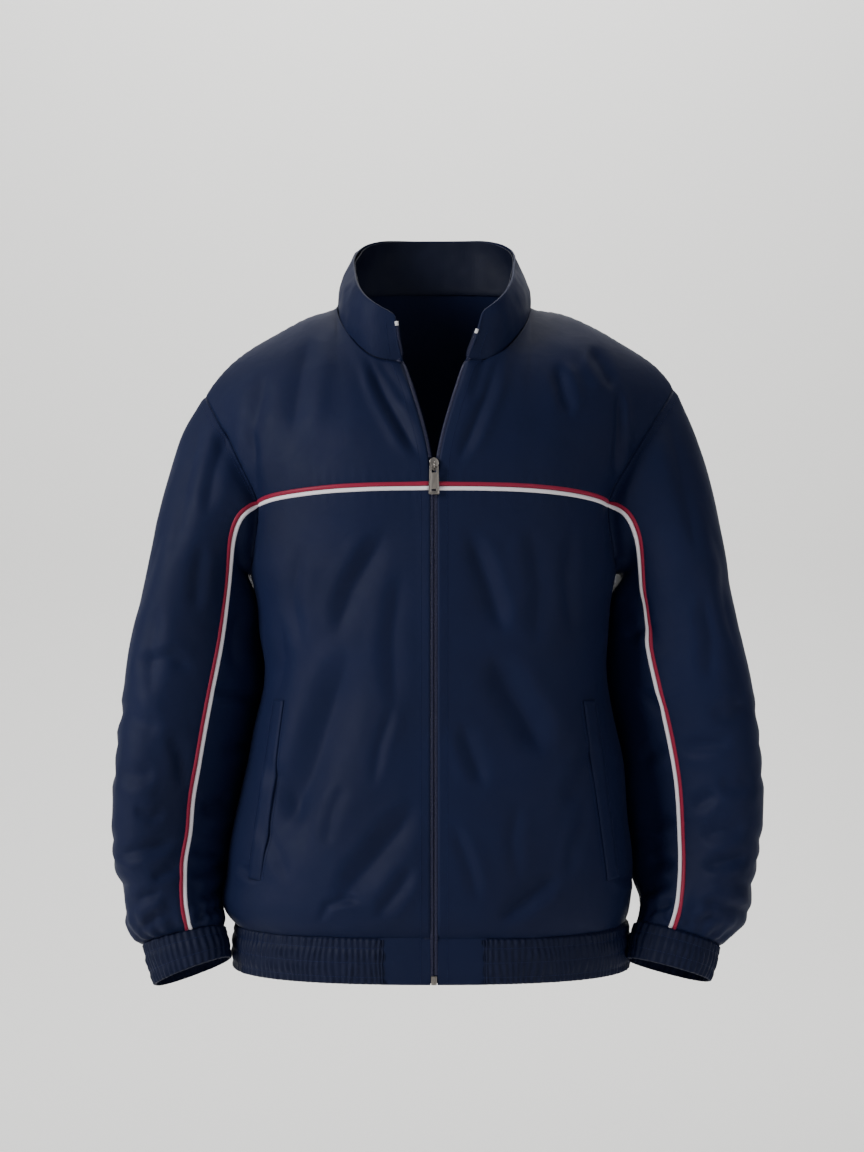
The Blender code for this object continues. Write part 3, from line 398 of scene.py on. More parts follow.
def crease_height(places, crease):
    """How far one crease moves points at flat places, in metres along their normals."""
    line = crease.line
    steps = np.linalg.norm(np.diff(line, axis=0), axis=1)
    total = steps.sum()
    near = np.full(len(places), 1e9)
    along = np.zeros(len(places))
    side = np.zeros(len(places))
    done = 0.0
    for start, end, step in zip(line[:-1], line[1:], steps):
        run = (end - start) / step
        off = places - start
        at = np.clip(off @ run, 0, step)
        gap = off - at[:, None] * run
        reach = np.linalg.norm(gap, axis=1)
        closer = reach < near
        near = np.where(closer, reach, near)
        along = np.where(closer, (done + at) / total, along)
        side = np.where(closer, run[0] * gap[:, 1] - run[1] * gap[:, 0], side)
        done += step
    taper = ease(along / CREASE_END) * ease((1 - along) / CREASE_END)
    half = crease.half * (CREASE_WIDTH[0] + CREASE_WIDTH[1] * taper)
    trough = np.exp(-(near / half) ** TROUGH_POWER)
    lip = np.exp(-((near - LIP_AT * half) / half) ** 2)
    stand = LIP_HIGH[0] + LIP_HIGH[1] * crease.lean * np.sign(side)
    return -CREASE_DEPTH * crease.depth * 1e-3 * taper * (trough - stand * lip)


def facing(normals, view):
    """How much each point faces the front, the back, or a side."""
    if view == "front":
        return ease((0.35 - normals[:, 1]) / 0.7)
    if view == "back":
        return ease((0.35 + normals[:, 1]) / 0.7)
    return ease((np.abs(normals[:, 0]) + 0.1) / 0.7)


def lay_creases(places, normals, table, view, where):
    """The joint height of a table of creases, on the points where they belong."""
    height = np.zeros(len(places))
    weight = facing(normals, view) * where
    on = weight > 0.01
    height[on] = sum(crease_height(places[on], crease) for crease in table) * weight[on]
    return height


# ---- Seams of the refined shell -------------------------------------------------------------


def walk(links, here, left):
    """The line of points from one on along their links, each taken out of those left."""
    line = [here]
    left.discard(here)
    while True:
        onward = [point for point in links[line[-1]] if point in left]
        if not onward:
            return line
        line.append(onward[0])
        left.remove(onward[0])


def borders(mesh):
    """Ordered lines of point numbers where two panels meet, or where one ends, by their numbers."""
    panel = np.empty(len(mesh.polygons), int)
    mesh.polygons.foreach_get("material_index", panel)
    beside = defaultdict(list)
    for face in mesh.polygons:
        for key in face.edge_keys:
            beside[key].append(panel[face.index])
    pairs = defaultdict(lambda: defaultdict(list))
    for (a, b), panels in beside.items():
        pair = (panels[0], -1) if len(panels) == 1 else tuple(sorted(panels))
        if pair[0] != pair[1]:
            pairs[pair][a].append(b)
            pairs[pair][b].append(a)
    lines = {}
    for pair, links in pairs.items():
        lines[pair] = []
        left = set(links)
        while left:
            ends = [point for point in left if len(links[point]) == 1]
            lines[pair].append(walk(links, min(ends) if ends else min(left), left))
    return lines


def all_lines(lines, free):
    """The lines of all seams, or of all free edges."""
    return [line for pair, group in lines.items() if (pair[1] == -1) == free for line in group]


def lines_between(lines, first, second):
    """The lines where two named panels meet."""
    return lines[tuple(sorted((PANELS.index(first), PANELS.index(second))))]


def chain_length(points):
    """The way along a line up to each of its points."""
    return np.concatenate([[0.0], np.cumsum(np.linalg.norm(np.diff(points, axis=0), axis=1))])


def near_line(points, line_points):
    """For each point, its distance to a line and how far along the line its nearest place is."""
    along = chain_length(line_points)
    tree = KDTree(len(line_points))
    for number, point in enumerate(line_points):
        tree.insert(point, number)
    tree.balance()
    found = [tree.find(point)[1:] for point in points]
    at = np.array([number for number, gap in found])
    return np.array([gap for number, gap in found]), along[at]


# ---- Folds, gathers and puckers of the shell ------------------------------------------------

SIZES = ((0.150, 0.0026), (0.060, 0.0006), (0.026, 0.00030))    # size and height of the unevenness
SIDE_SHARE, BACK_SHARE = 0.45, 0.7      # how strong a sleeve's creases are at its side and back
BAND_BELOW = -0.60              # free edges lower than this are an elastic band's seam
SEAM_HOLD = 0.010               # the band's seam keeps the cloth above it in place over this distance
GATHER_UP = 0.032               # how far the gathers run up from an elastic band
GATHER_HIGH = 0.0023
GATHER_PITCH = 0.015
PUCKER_REACH = 0.012            # how far the short puckers run from a stitched seam
PUCKER_HIGH = 0.0004
PUCKER_PITCH = 0.0105
GROOVE_REACH = 0.0032
GROOVE_DEEP = 0.0011
ZIP_EDGE = 0.0033               # how far the front edges lie from the middle
ZIP_REACH = 0.010
ZIP_TOP = -0.19                 # below this the zip is closed
ZIP_STILL = 0.85                # how much the closed zip takes out of the folds


def panel_share(mesh, starts):
    """1 on the points of panels whose names start so, 0 elsewhere."""
    share = np.zeros(len(mesh.vertices))
    for face in mesh.polygons:
        if PANELS[face.material_index].startswith(starts):
            for point in face.vertices:
                share[point] = 1.0
    return share


def ripples(along, gap, pitch, reach, high, seed):
    """Uneven ripples across a line, fading with the distance from it."""
    drift = noise_at((a / (pitch * 2.3), seed, 0) for a in along)
    tall = noise_at((a / (pitch * 3.1), seed + 9, 4) for a in along)
    wave = np.sin(2 * math.pi * along / pitch + 4.5 * drift)
    return high * wave * (0.65 + 0.9 * tall) * np.exp(-(gap / reach) ** 1.5)


BESIDE_LOW, BESIDE_HIGH = -0.63, -0.306     # heights between which the gap to the body is measured
BESIDE_TOP = -0.262             # where the sleeve meets the body
BESIDE_REACH = 0.035            # how far into the sleeve the cloth moves
BESIDE_FRONT = -0.045           # forward of this the sleeve keeps its place, and the piping with it
BESIDE_OVER = 0.0045            # how far the cloth would go into the body, so that no gap stays


def hang_beside(points, on_sleeve):
    """Bring the inner side of each sleeve up to the side of the body."""
    marks = np.arange(BESIDE_LOW, BESIDE_HIGH, 0.008)
    for sign in (-1, 1):
        out = points[:, 0] * sign
        body_out, sleeve_in = [], []
        for mark in marks:
            level = np.abs(points[:, 2] - mark) < 0.006
            body_out.append(out[level & (on_sleeve < 0.5)].max())
            sleeve_in.append(out[level & (on_sleeve > 0.5) & (out > 0.1)].min())
        gap = np.maximum(np.array(sleeve_in) - np.array(body_out) + BESIDE_OVER, 0.0)
        gap = np.convolve(np.pad(gap, 1, mode="edge"), [0.25, 0.5, 0.25], mode="valid")
        chosen = (on_sleeve > 0.5) & (out > 0.1)
        chosen &= (points[:, 2] > BESIDE_LOW) & (points[:, 2] < BESIDE_TOP)
        height = points[chosen, 2]
        share = ease(1 - (out[chosen] - np.interp(height, marks, sleeve_in)) / BESIDE_REACH)
        share *= ease((out[chosen] - np.interp(height, marks, body_out) + 0.004) / 0.008)
        share *= ease((points[chosen, 1] - BESIDE_FRONT) / 0.030)
        fade = ease((height - BESIDE_LOW) / 0.05) * ease((BESIDE_TOP - height) / 0.012)
        points[chosen, 0] -= sign * share * fade * np.interp(points[chosen, 2], marks, gap)
    return points


def above_bands(points, lines, on_sleeve):
    """Each low point's distance to the elastic band under it, and its way along the band's seam."""
    floor = np.full(len(points), 1e3)
    along = np.zeros(len(points))
    for line in all_lines(lines, free=True):
        edge = points[line]
        if edge[:, 2].max() > BAND_BELOW or np.ptp(edge[:, 0]) < 0.02:
            continue
        low = points[:, 2] < BAND_BELOW + 0.05
        same = (on_sleeve > 0) == (on_sleeve[line].mean() > 0.5)
        chosen = np.flatnonzero(low & same)
        gap, way = near_line(points[chosen], edge)
        closer = gap < floor[chosen]
        floor[chosen[closer]] = gap[closer]
        along[chosen[closer]] = way[closer]
    return floor, along


def shape_shell(shell):
    """Lay every crease, gather, pucker and seam groove into the refined shell."""
    mesh = shell.data
    points, normals = points_of(mesh), normals_of(mesh)
    lines = borders(mesh)
    on_sleeve = panel_share(mesh, "sleeve")
    height = np.zeros(len(points))
    for number, (size, high) in enumerate(SIZES):
        height += high * wander(points * np.array([1.0, 1.0, 0.6]), size, number + 1.0)
    places = seen(points)
    for view, table in (("front", BODY_FRONT), ("back", BODY_BACK)):
        height += lay_creases(places, normals, table, view, 1.0 - on_sleeve)
    for side, sign in SIDES.items():
        own = on_sleeve * (points[:, 0] * sign > 0)
        outer_side = own * (normals[:, 0] * sign > 0)
        height += lay_creases(places, normals, SLEEVE_FRONT[side], "front", own)
        height += SIDE_SHARE * lay_creases(points[:, 1:] * 1000, normals, SLEEVE_BACK, "side", outer_side)
        height += BACK_SHARE * lay_creases(places, normals, SLEEVE_FRONT[side], "back", own)
    floor, along = above_bands(points, lines, on_sleeve)
    gather = ripples(along, floor, GATHER_PITCH, GATHER_UP, GATHER_HIGH, 2.0)
    height = (height + gather * (floor < 0.2)) * (0.2 + 0.8 * ease(floor / SEAM_HOLD))
    seams = [line for line in all_lines(lines, free=False) if len(line) > 6]
    for number, line in enumerate(seams):
        box_low, box_high = points[line].min(axis=0) - 0.03, points[line].max(axis=0) + 0.03
        chosen = np.flatnonzero(((points > box_low) & (points < box_high)).all(axis=1))
        gap, way = near_line(points[chosen], points[line])
        height[chosen] += ripples(way, gap, PUCKER_PITCH, PUCKER_REACH, PUCKER_HIGH, 20.0 + number)
        height[chosen] -= GROOVE_DEEP * np.exp(-(gap / GROOVE_REACH) ** 2)
    zip_gap = np.abs(np.abs(points[:, 0]) - ZIP_EDGE)
    closed_zip = (points[:, 1] < 0) * (points[:, 2] < ZIP_TOP)
    height *= 1 - ZIP_STILL * np.exp(-(zip_gap / ZIP_REACH) ** 2) * closed_zip
    put_points(mesh, hang_beside(points + normals * height[:, None], on_sleeve))
    return lines


def parted(shell, name):
    """One panel cut out of the shell, with its wall."""
    number = PANELS.index(name)
    points = points_of(shell.data)
    faces = [tuple(face.vertices) for face in shell.data.polygons if face.material_index == number]
    used = sorted({point for face in faces for point in face})
    place = {point: new for new, point in enumerate(used)}
    piece = mesh_object(name + "_cloth", points[used], [[place[p] for p in face] for face in faces])
    wall(piece, CLOTH_THICK)
    return piece


def wall(piece, thick):
    """Give a sheet its thickness, inwards."""
    solid = piece.modifiers.new("Wall", "SOLIDIFY")
    solid.thickness = thick
    solid.offset = -1
    solid.use_quality_normals = True
    return settled(piece)


# ---- Strips, cords and repeats --------------------------------------------------------------


def sweep(name, path, ups, profile):
    """A closed bar along a path. The profile's corners are (side, up) offsets from the path."""
    path, ups = np.asarray(path, float), unit(ups)
    ahead = unit(np.gradient(path, axis=0))
    sides = unit(np.cross(ahead, ups))
    ups = np.cross(sides, ahead)
    size = len(profile)
    points = np.concatenate([[spot + side * across + up * rise for across, rise in profile]
                             for spot, side, up in zip(path, sides, ups)])
    caps = [tuple(range(size))[::-1], tuple(range(len(points) - size, len(points)))]
    return faced_out(mesh_object(name, points, grid_faces(len(path), size, True) + caps))


def oval(half_wide, half_high, count=12, low=0.0):
    """A rounded profile, its lowest corners kept at or above low."""
    turns = np.linspace(0, 2 * math.pi, count, endpoint=False)
    return [(half_wide * math.cos(turn), max(low, half_high * math.sin(turn))) for turn in turns]


def read_at(marks, along, values):
    """Rows of three values that go with the ways along a line, read at marks."""
    return np.stack([np.interp(marks, along, values[:, axis]) for axis in range(3)], axis=1)


def evened(points, step):
    """The points of a line, resampled at an even step."""
    points = np.asarray(points, float)
    along = chain_length(points)
    count = max(2, int(round(along[-1] / step)) + 1)
    return read_at(np.linspace(0, along[-1], count), along, points)


def softened(points, rounds=3):
    """A line with its small kinks evened out, its ends kept."""
    points = np.array(points, float)
    for _ in range(rounds):
        points[1:-1] = (points[:-2] + 2 * points[1:-1] + points[2:]) / 4
    return points


class Surface:
    """A mesh on which lines are laid."""

    def __init__(self, *pieces):
        points, faces = [], []
        for piece in pieces:
            start = len(points)
            points += [Vector(point) for point in points_of(piece.data)]
            faces += [[start + p for p in face.vertices] for face in piece.data.polygons]
        self.tree = BVHTree.FromPolygons(points, faces)

    def lay(self, points, lift=0.0):
        """The points brought down onto the surface, and its normals there."""
        spots, ups = [], []
        for point in points:
            spot, up, _, _ = self.tree.find_nearest(Vector(point))
            spots.append(np.array(spot) + np.array(up) * lift)
            ups.append(np.array(up))
        return np.array(spots), softened(np.array(ups), 2)

    def beside(self, line, distance, lift=0.0):
        """A line on the surface, a distance to the right of another one."""
        line = softened(evened(line, 0.004))
        spots, ups = self.lay(line)
        sides = unit(np.cross(unit(np.gradient(spots, axis=0)), ups))
        return self.lay(softened(spots + sides * distance), lift)

    def front_at(self, x, z):
        """The place of the surface that is seen from the front at x and z."""
        return np.array(self.tree.ray_cast(Vector((x, -1.0, z)), Vector((0, 1, 0)))[0])


def add_node(tree, kind, settings=None, inputs=None):
    """Add one node, with its settings, and its inputs as values or as links from other nodes."""
    made = tree.nodes.new(kind)
    for name, value in (settings or {}).items():
        setattr(made, name, value)
    for name, value in (inputs or {}).items():
        socket = made.inputs[name]
        if isinstance(value, bpy.types.NodeSocket):
            tree.links.new(value, socket)
        else:
            socket.default_value = value
    return made


def bead_tree():
    """Geometry Nodes that set a small rounded bead on each point, along and up as the point says."""
    tree = bpy.data.node_groups.new("beads", "GeometryNodeTree")
    face = tree.interface
    face.new_socket("Geometry", in_out="INPUT", socket_type="NodeSocketGeometry")
    for name in ("Long", "Wide", "High"):
        face.new_socket(name, in_out="INPUT", socket_type="NodeSocketFloat")
    face.new_socket("Material", in_out="INPUT", socket_type="NodeSocketMaterial")
    face.new_socket("Geometry", in_out="OUTPUT", socket_type="NodeSocketGeometry")
    given = add_node(tree, "NodeGroupInput")
    ball = add_node(tree, "GeometryNodeMeshUVSphere", inputs={"Segments": 6, "Rings": 4, "Radius": 0.5})
    size = add_node(tree, "ShaderNodeCombineXYZ", inputs={
        0: given.outputs["Long"], 1: given.outputs["Wide"], 2: given.outputs["High"]})
    bead = add_node(tree, "GeometryNodeTransform", inputs={"Geometry": ball.outputs[0],
                                                           "Scale": size.outputs[0]})
    ahead = add_node(tree, "GeometryNodeInputNamedAttribute", {"data_type": "FLOAT_VECTOR"},
                     {"Name": "ahead"})
    up = add_node(tree, "GeometryNodeInputNamedAttribute", {"data_type": "FLOAT_VECTOR"}, {"Name": "up"})
    turned = add_node(tree, "FunctionNodeAlignRotationToVector", {"axis": "X"},
                      {"Vector": ahead.outputs[0]})
    upright = add_node(tree, "FunctionNodeAlignRotationToVector", {"axis": "Z", "pivot_axis": "X"},
                       {"Rotation": turned.outputs[0], "Vector": up.outputs[0]})
    spots = add_node(tree, "GeometryNodeMeshToPoints", inputs={"Mesh": given.outputs["Geometry"]})
    laid = add_node(tree, "GeometryNodeInstanceOnPoints", inputs={
        "Points": spots.outputs[0], "Instance": bead.outputs[0], "Rotation": upright.outputs[0]})
    real = add_node(tree, "GeometryNodeRealizeInstances", inputs={0: laid.outputs[0]})
    smooth = add_node(tree, "GeometryNodeSetShadeSmooth", inputs={0: real.outputs[0]})
    finish = add_node(tree, "GeometryNodeSetMaterial", inputs={
        "Geometry": smooth.outputs[0], "Material": given.outputs["Material"]})
    add_node(tree, "NodeGroupOutput", inputs={"Geometry": finish.outputs[0]})
    return tree


BEADS = bead_tree()


def beads(name, spots, aheads, ups, size, material):
    """Beads of one size, (long, wide, high), on points."""
    piece = mesh_object(name, spots, [])
    for title, vectors in (("ahead", aheads), ("up", ups)):
        layer = piece.data.attributes.new(title, "FLOAT_VECTOR", "POINT")
        layer.data.foreach_set("vector", np.asarray(vectors, np.float32).ravel())
    change = piece.modifiers.new("Beads", "NODES")
    change.node_group = BEADS
    values = dict(zip(("Long", "Wide", "High"), size))
    values["Material"] = material
    for item in BEADS.interface.items_tree:
        if item.in_out == "INPUT" and item.name in values:
            change[item.identifier] = values[item.name]
    return settled(piece)


STITCH = (0.0026, 0.0006, 0.0005)       # long, wide and high
STITCH_PITCH = 0.0031


def stitched(name, slot, rows):
    """Rows of stitches; each row is a line of points and their normals."""
    spots, aheads, ups = [], [], []
    for line, normals in rows:
        along = chain_length(line)
        marks = np.arange(STITCH_PITCH / 2, along[-1], STITCH_PITCH)
        spots.append(read_at(marks, along, line))
        ups.append(unit(read_at(marks, along, normals)))
        aheads.append(unit(np.gradient(spots[-1], axis=0)))
    piece = beads(name, np.vstack(spots), np.vstack(aheads), np.vstack(ups), STITCH, MATERIALS["thread"])
    return finished(piece, "jacket", slot, "thread")


# ---- Elastic bands --------------------------------------------------------------------------

RIB_PITCH = 0.0060
RIB_COLUMNS = 6                 # columns of the mesh to one rib
RIB_HIGH = 0.0019
BAND_THICK = 0.0012
PINCH_REACH = 0.085             # share of the band's height that a stitch row draws in
EDGE_DEEP = 0.0010              # how far the band's two edges lie below its ribs
TUCKED = (0.006, 0.0022)        # how far a band's end runs on behind its neighbour, and how deep
ALLOWANCE = (0.009, 0.0035)     # the same for its upper edge behind the shell


def curved(rows, closed, count):
    """Each row of points as a smooth curve of count points."""
    rows = np.asarray(rows)
    size = rows.shape[1]
    cells = size if closed else size - 1
    marks = np.linspace(0, cells, count, endpoint=not closed)
    cell = np.minimum(marks.astype(int), cells - 1)
    t = (marks - cell)[None, :, None]

    def pick(step):
        number = cell + step
        return rows[:, number % size] if closed else rows[:, np.clip(number, 0, size - 1)]

    a, b, c, d = pick(-1), pick(0), pick(1), pick(2)
    return 0.5 * (2 * b + (c - a) * t + (2 * a - 5 * b + 4 * c - d) * t ** 2
                  + (3 * b - a - 3 * c + d) * t ** 3)


def ribbed_band(name, node, rows, closed, stitch_rows, tall):
    """An elastic band: gathered ribs between rows of stitching that hold the elastic.

    rows are rings of points from the seam down. Returns the piece and its stitch rows.
    """
    if not closed:
        tuck = np.array([0.0, TUCKED[1], 0.0])
        starts, ends = rows[:, 0] - rows[:, 1], rows[:, -1] - rows[:, -2]
        rows = np.concatenate([(rows[:, 0] + unit(starts) * TUCKED[0] + tuck)[:, None], rows,
                               (rows[:, -1] + unit(ends) * TUCKED[0] + tuck)[:, None]], axis=1)
    count = int(chain_length(rows[1])[-1] / RIB_PITCH) * RIB_COLUMNS + (0 if closed else 1)
    fine = curved(np.swapaxes(curved(rows, closed, count), 0, 1), False, tall)
    fine = np.swapaxes(fine, 0, 1)
    ahead = np.roll(fine, -1, axis=1) - np.roll(fine, 1, axis=1)
    if not closed:
        ahead[:, 0], ahead[:, -1] = fine[:, 1] - fine[:, 0], fine[:, -1] - fine[:, -2]
    down = np.gradient(fine, axis=0)
    outward = unit(np.cross(ahead, down))
    middle = fine.reshape(-1, 3).mean(axis=0)
    if np.mean(np.sum(outward * (fine - middle), axis=-1)) < 0:
        outward = -outward
    v = np.linspace(0, 1, tall)
    pinch = np.ones(tall)
    for place in stitch_rows:
        pinch = np.minimum(pinch, 0.25 + 0.75 * np.clip(np.abs(v - place) / PINCH_REACH, 0, 1) ** 0.8)
    ends = ease(v / 0.05) * ease((1 - v) / 0.04)
    column = np.arange(count) / RIB_COLUMNS
    height = np.zeros((tall, count))
    for row in range(tall):
        drift = noise_at((c * 0.23, v[row] * 1.1, 3.0) for c in column)
        size = noise_at((c * 0.61, v[row] * 4.0, 8.0) for c in column)
        if closed:
            fade = ease(np.minimum(column, column[-1] - column) / 6)
            drift, size = drift * fade, size * fade
        wave = 0.5 + 0.5 * np.cos(2 * math.pi * (column + 0.9 * drift))
        height[row] = RIB_HIGH * (wave ** 0.8) * (0.8 + 0.7 * size) * pinch[row]
        height[row] = height[row] * (0.35 + 0.65 * ends[row]) - EDGE_DEEP * (1 - ends[row])
    shaped = fine + outward * height[..., None]
    inward = unit(shaped[0].mean(axis=0) - shaped[0])
    under = shaped[0] + unit(fine[0] - fine[1]) * ALLOWANCE[0] + inward * ALLOWANCE[1]
    points = np.vstack([under, shaped.reshape(-1, 3)])
    piece = mesh_object(name, points, grid_faces(tall + 1, count, closed))
    wall(facing_out(piece, middle), BAND_THICK)
    seams = []
    for place in stitch_rows:
        row = int(round(place * (tall - 1)))
        line = fine[row] + outward[row] * (height[row] * 0.9 + 0.0001)[:, None]
        seams.append((line, outward[row]))
    return finished(piece, "jacket", "elastic", "elastic", node), seams


def facing_out(piece, middle):
    """Turn an open sheet's faces away from a middle point."""
    total = sum(np.dot(np.array(face.normal), np.array(face.center) - middle) * face.area
                for face in piece.data.polygons)
    if total < 0:
        piece.data.flip_normals()
    return piece


def outer_points(node):
    """The points of the outer side of a solid's wall."""
    part = skin(node)
    points = np.array([vert.co for vert in part.verts])
    part.free()
    return points


def ring_rows(points, axis_at, axis_way):
    """Points in rings round an axis: rows from the seam down, each sorted by its turn."""
    along = (points - axis_at) @ axis_way
    order = np.sort(along)
    cuts = np.sort(np.argsort(np.diff(order))[-2:])
    limits = [-1e9, *(order[cuts] + order[cuts + 1]) / 2, 1e9]
    side = unit(np.cross(axis_way, np.array([0.0, 1.0, 0.0])))
    front = np.cross(side, axis_way)
    rows = []
    for low, high in zip(limits[:-1], limits[1:]):
        ring = points[(along > low) & (along <= high)]
        turn = np.arctan2((ring - axis_at) @ side, (ring - axis_at) @ front)
        rows.append(ring[np.argsort(turn)])
    return np.array(rows)


# ---- Materials ------------------------------------------------------------------------------


def linear(colour):
    """An sRGB hex colour as linear red, green, blue and 1."""
    parts = [int(colour[at:at + 2], 16) / 255 for at in (0, 2, 4)]
    return tuple(((p + 0.055) / 1.055) ** 2.4 if p > 0.04045 else p / 12.92 for p in parts) + (1.0,)


def new_material(name, base, rough, **sockets):
    """A material with its plain values on the shader's own sockets."""
    material = bpy.data.materials.new(name)
    material.use_nodes = True
    shader = material.node_tree.nodes["Principled BSDF"]
    shader.inputs["Base Color"].default_value = linear(base)
    shader.inputs["Roughness"].default_value = rough
    for socket, value in sockets.items():
        shader.inputs[socket.replace("_", " ")].default_value = value
    return material, material.node_tree, shader


SHEEN_TINT = "8d98bd"


def cloth_material(name, light, dark, rough, thread, weave, wrinkle, sheen):
    """Woven polyester: two close shades, a fine thread bump and small soft wrinkles.

    thread is the drawn spacing of the threads in metres, weave and wrinkle are bump heights. Real
    threads lie about 0.2 mm apart, which is too fine to show, so they are drawn 0.5 to 0.9 mm apart.
    """
    material, tree, shader = new_material(name, light, rough, Specular_IOR_Level=0.17,
                                          Sheen_Weight=sheen, Sheen_Roughness=0.38)
    shader.inputs["Sheen Tint"].default_value = linear(SHEEN_TINT)
    place = add_node(tree, "ShaderNodeTexCoord").outputs["Object"]

    def noise_node(scale, detail, **more):
        given = {"Vector": place, "Scale": scale, "Detail": detail, **more}
        return add_node(tree, "ShaderNodeTexNoise", inputs=given).outputs["Fac"]

    shade = add_node(tree, "ShaderNodeMix", {"data_type": "RGBA"}, {    # patches of about 110 mm
        "Factor": noise_node(9.0, 3.0), 6: linear(dark), 7: linear(light)})
    tree.links.new(shade.outputs[2], shader.inputs["Base Color"])
    satin = add_node(tree, "ShaderNodeMapRange", inputs={               # patches of about 17 mm
        "Value": noise_node(60.0, 2.0), "To Min": rough - 0.05, "To Max": rough + 0.06})
    tree.links.new(satin.outputs[0], shader.inputs["Roughness"])
    soft = add_node(tree, "ShaderNodeBump", inputs={                    # wrinkles of about 30 mm
        "Height": noise_node(34.0, 4.0, Roughness=0.52, Distortion=0.9), "Strength": 0.55,
        "Distance": wrinkle})
    fine = add_node(tree, "ShaderNodeBump", inputs={
        "Height": noise_node(1 / thread, 1.0, Roughness=0.6), "Strength": 0.5, "Distance": weave,
        "Normal": soft.outputs["Normal"]})
    tree.links.new(fine.outputs["Normal"], shader.inputs["Normal"])
    return material


def metal_material(name, colour, rough):
    """Die-cast zinc alloy, satin plated, with a faint grain of about a millimetre."""
    material, tree, shader = new_material(name, colour, rough, Metallic=1.0)
    place = add_node(tree, "ShaderNodeTexCoord").outputs["Object"]
    grain = add_node(tree, "ShaderNodeTexNoise", inputs={"Vector": place, "Scale": 900.0, "Detail": 2.0})
    satin = add_node(tree, "ShaderNodeMapRange", inputs={
        "Value": grain.outputs["Fac"], "To Min": rough - 0.08, "To Max": rough + 0.10})
    tree.links.new(satin.outputs[0], shader.inputs["Roughness"])
    bump = add_node(tree, "ShaderNodeBump", inputs={
        "Height": grain.outputs["Fac"], "Strength": 0.25, "Distance": 0.0001})
    tree.links.new(bump.outputs["Normal"], shader.inputs["Normal"])
    return material


MATERIALS = {
    # Plain-woven polyester, dyed: matt, with a faint sheen where a fold turns away.
    "shell": cloth_material("woven_polyester_navy", "091538", "07102b", 0.66, 0.0007, 0.00006, 0.0011, 0.04),
    # The same cloth shirred over elastic: stretched flatter, so its wrinkles are lower.
    "elastic": cloth_material("shirred_polyester_navy", "081231", "060d24", 0.60, 0.0007, 0.00006, 0.0005,
                              0.04),
    # The inner side of the cloth, with painted shade: the same navy made duller and darker, because little
    # light comes in.
    "inner_painted_shade": cloth_material("inner_side_navy_painted_shade", "0a1128", "080d1e", 0.66, 0.0007, 0.00006, 0.0008, 0.03),
    # Satin-woven piping over a cord: smoother than the shell, with a soft highlight along it.
    "red": cloth_material("red_piping_satin", "9a2440", "7a1630", 0.42, 0.0006, 0.00008, 0.0003, 0.12),
    "white": cloth_material("white_piping_satin", "f2edf0", "dcd6dc", 0.48, 0.0006, 0.00008, 0.0003, 0.05),
    # Twill-woven zip tape: coarser and the most matt.
    "tape": cloth_material("zip_tape_twill", "0e1430", "0a1026", 0.70, 0.0009, 0.00010, 0.0002, 0.05),
    # Spun sewing thread: a shade lighter than the shell, so that the stitches show on it.
    "thread": cloth_material("polyester_thread_navy", "101e4a", "0d183c", 0.55, 0.0005, 0.00005, 0.0001,
                             0.05),
    # Extruded nylon coil and moulded acetal stops: even and half glossy, without a pattern.
    "coil": new_material("nylon_coil_dark", "2a2b48", 0.34)[0],
    "stop": new_material("moulded_stop_white", "e2e0e0", 0.42)[0],
    # Die-cast zinc with a dark satin plating: blurred highlights on its rounded edges.
    "metal": metal_material("plated_zinc_dark", "8f8983", 0.36),
}


def finished(piece, body, slot, material, *nodes):
    """Hand a piece over: its finish, the body that it moves with and the solids that it stands for."""
    piece.data.materials.clear()
    piece.data.materials.append(MATERIALS[material])
    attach(piece, body)
    if nodes:
        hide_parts(*nodes)
    return piece


# ---- Making the shell -----------------------------------------------------------------------

shell = whole_shell()
lines = shape_shell(shell)
surface = Surface(shell)
shell_points = points_of(shell.data)


def seam_points(first, second):
    """The points of the longest seam between two panels."""
    return shell_points[max(lines_between(lines, first, second), key=len)]


def rising(line):
    """A line in the order of its height."""
    return line if line[0, 2] < line[-1, 2] else line[::-1]


Cut = namedtuple("Cut", "wide long area held")
CUTS = {        # each piece before sewing, in metres and square metres
    "back": Cut(0.61, 0.69, 0.345, "hung"),
    "front": Cut(0.30, 0.46, 0.120, "hung"),
    "front_yoke": Cut(0.26, 0.24, 0.044, "hung"),
    "sleeve_upper": Cut(0.33, 0.58, 0.161, "hung"),
    "sleeve_under": Cut(0.20, 0.47, 0.0755, "hung"),
    "collar_outer": Cut(0.57, 0.052, 0.0285, "folded"),
    "collar_facing": Cut(0.57, 0.056, 0.030, "folded"),
    "hem_band": Cut(1.13, 0.055, None, "gathered"),
    "cuff": Cut(0.245, 0.055, None, "gathered"),
    "hem_tab": Cut(0.052, 0.055, None, "laid"),
}
panels = {name: finished(parted(shell, name), "jacket", "shell", "shell", name) for name in PANELS}

# ---- Collar ---------------------------------------------------------------------------------


FACING_DOWN = 0.007             # the inner collar runs on over the neck seam


def with_neck_seam(part):
    """The inner collar with a row added below, which covers the neck seam inside."""
    outline = [edge for edge in part.edges if len(edge.link_faces) == 1]
    corners = [vert for vert in part.verts if len(vert.link_edges) == 2]
    feet = {min((vert for vert in corners if vert.co.x * sign > 0), key=lambda vert: vert.co.z)
            for sign in (-1, 1)}
    low, links = set(), defaultdict(list)
    for edge in outline:
        for vert in edge.verts:
            links[vert].append(edge)
    here = next(iter(feet))
    for first in links[here]:
        run, vert, edge = [], here, first
        while True:
            run.append(edge)
            vert = edge.other_vert(vert)
            if len(vert.link_edges) == 2:
                break
            edge = next(other for other in links[vert] if other != edge)
        if vert in feet:
            low = set(run)
    rows = bmesh.ops.extrude_edge_only(part, edges=list(low))["geom"]
    for vert in (item for item in rows if isinstance(item, bmesh.types.BMVert)):
        vert.co += Vector((vert.co.x * 0.02, 0, -FACING_DOWN))
    bmesh.ops.recalc_face_normals(part, faces=part.faces[:])
    return part


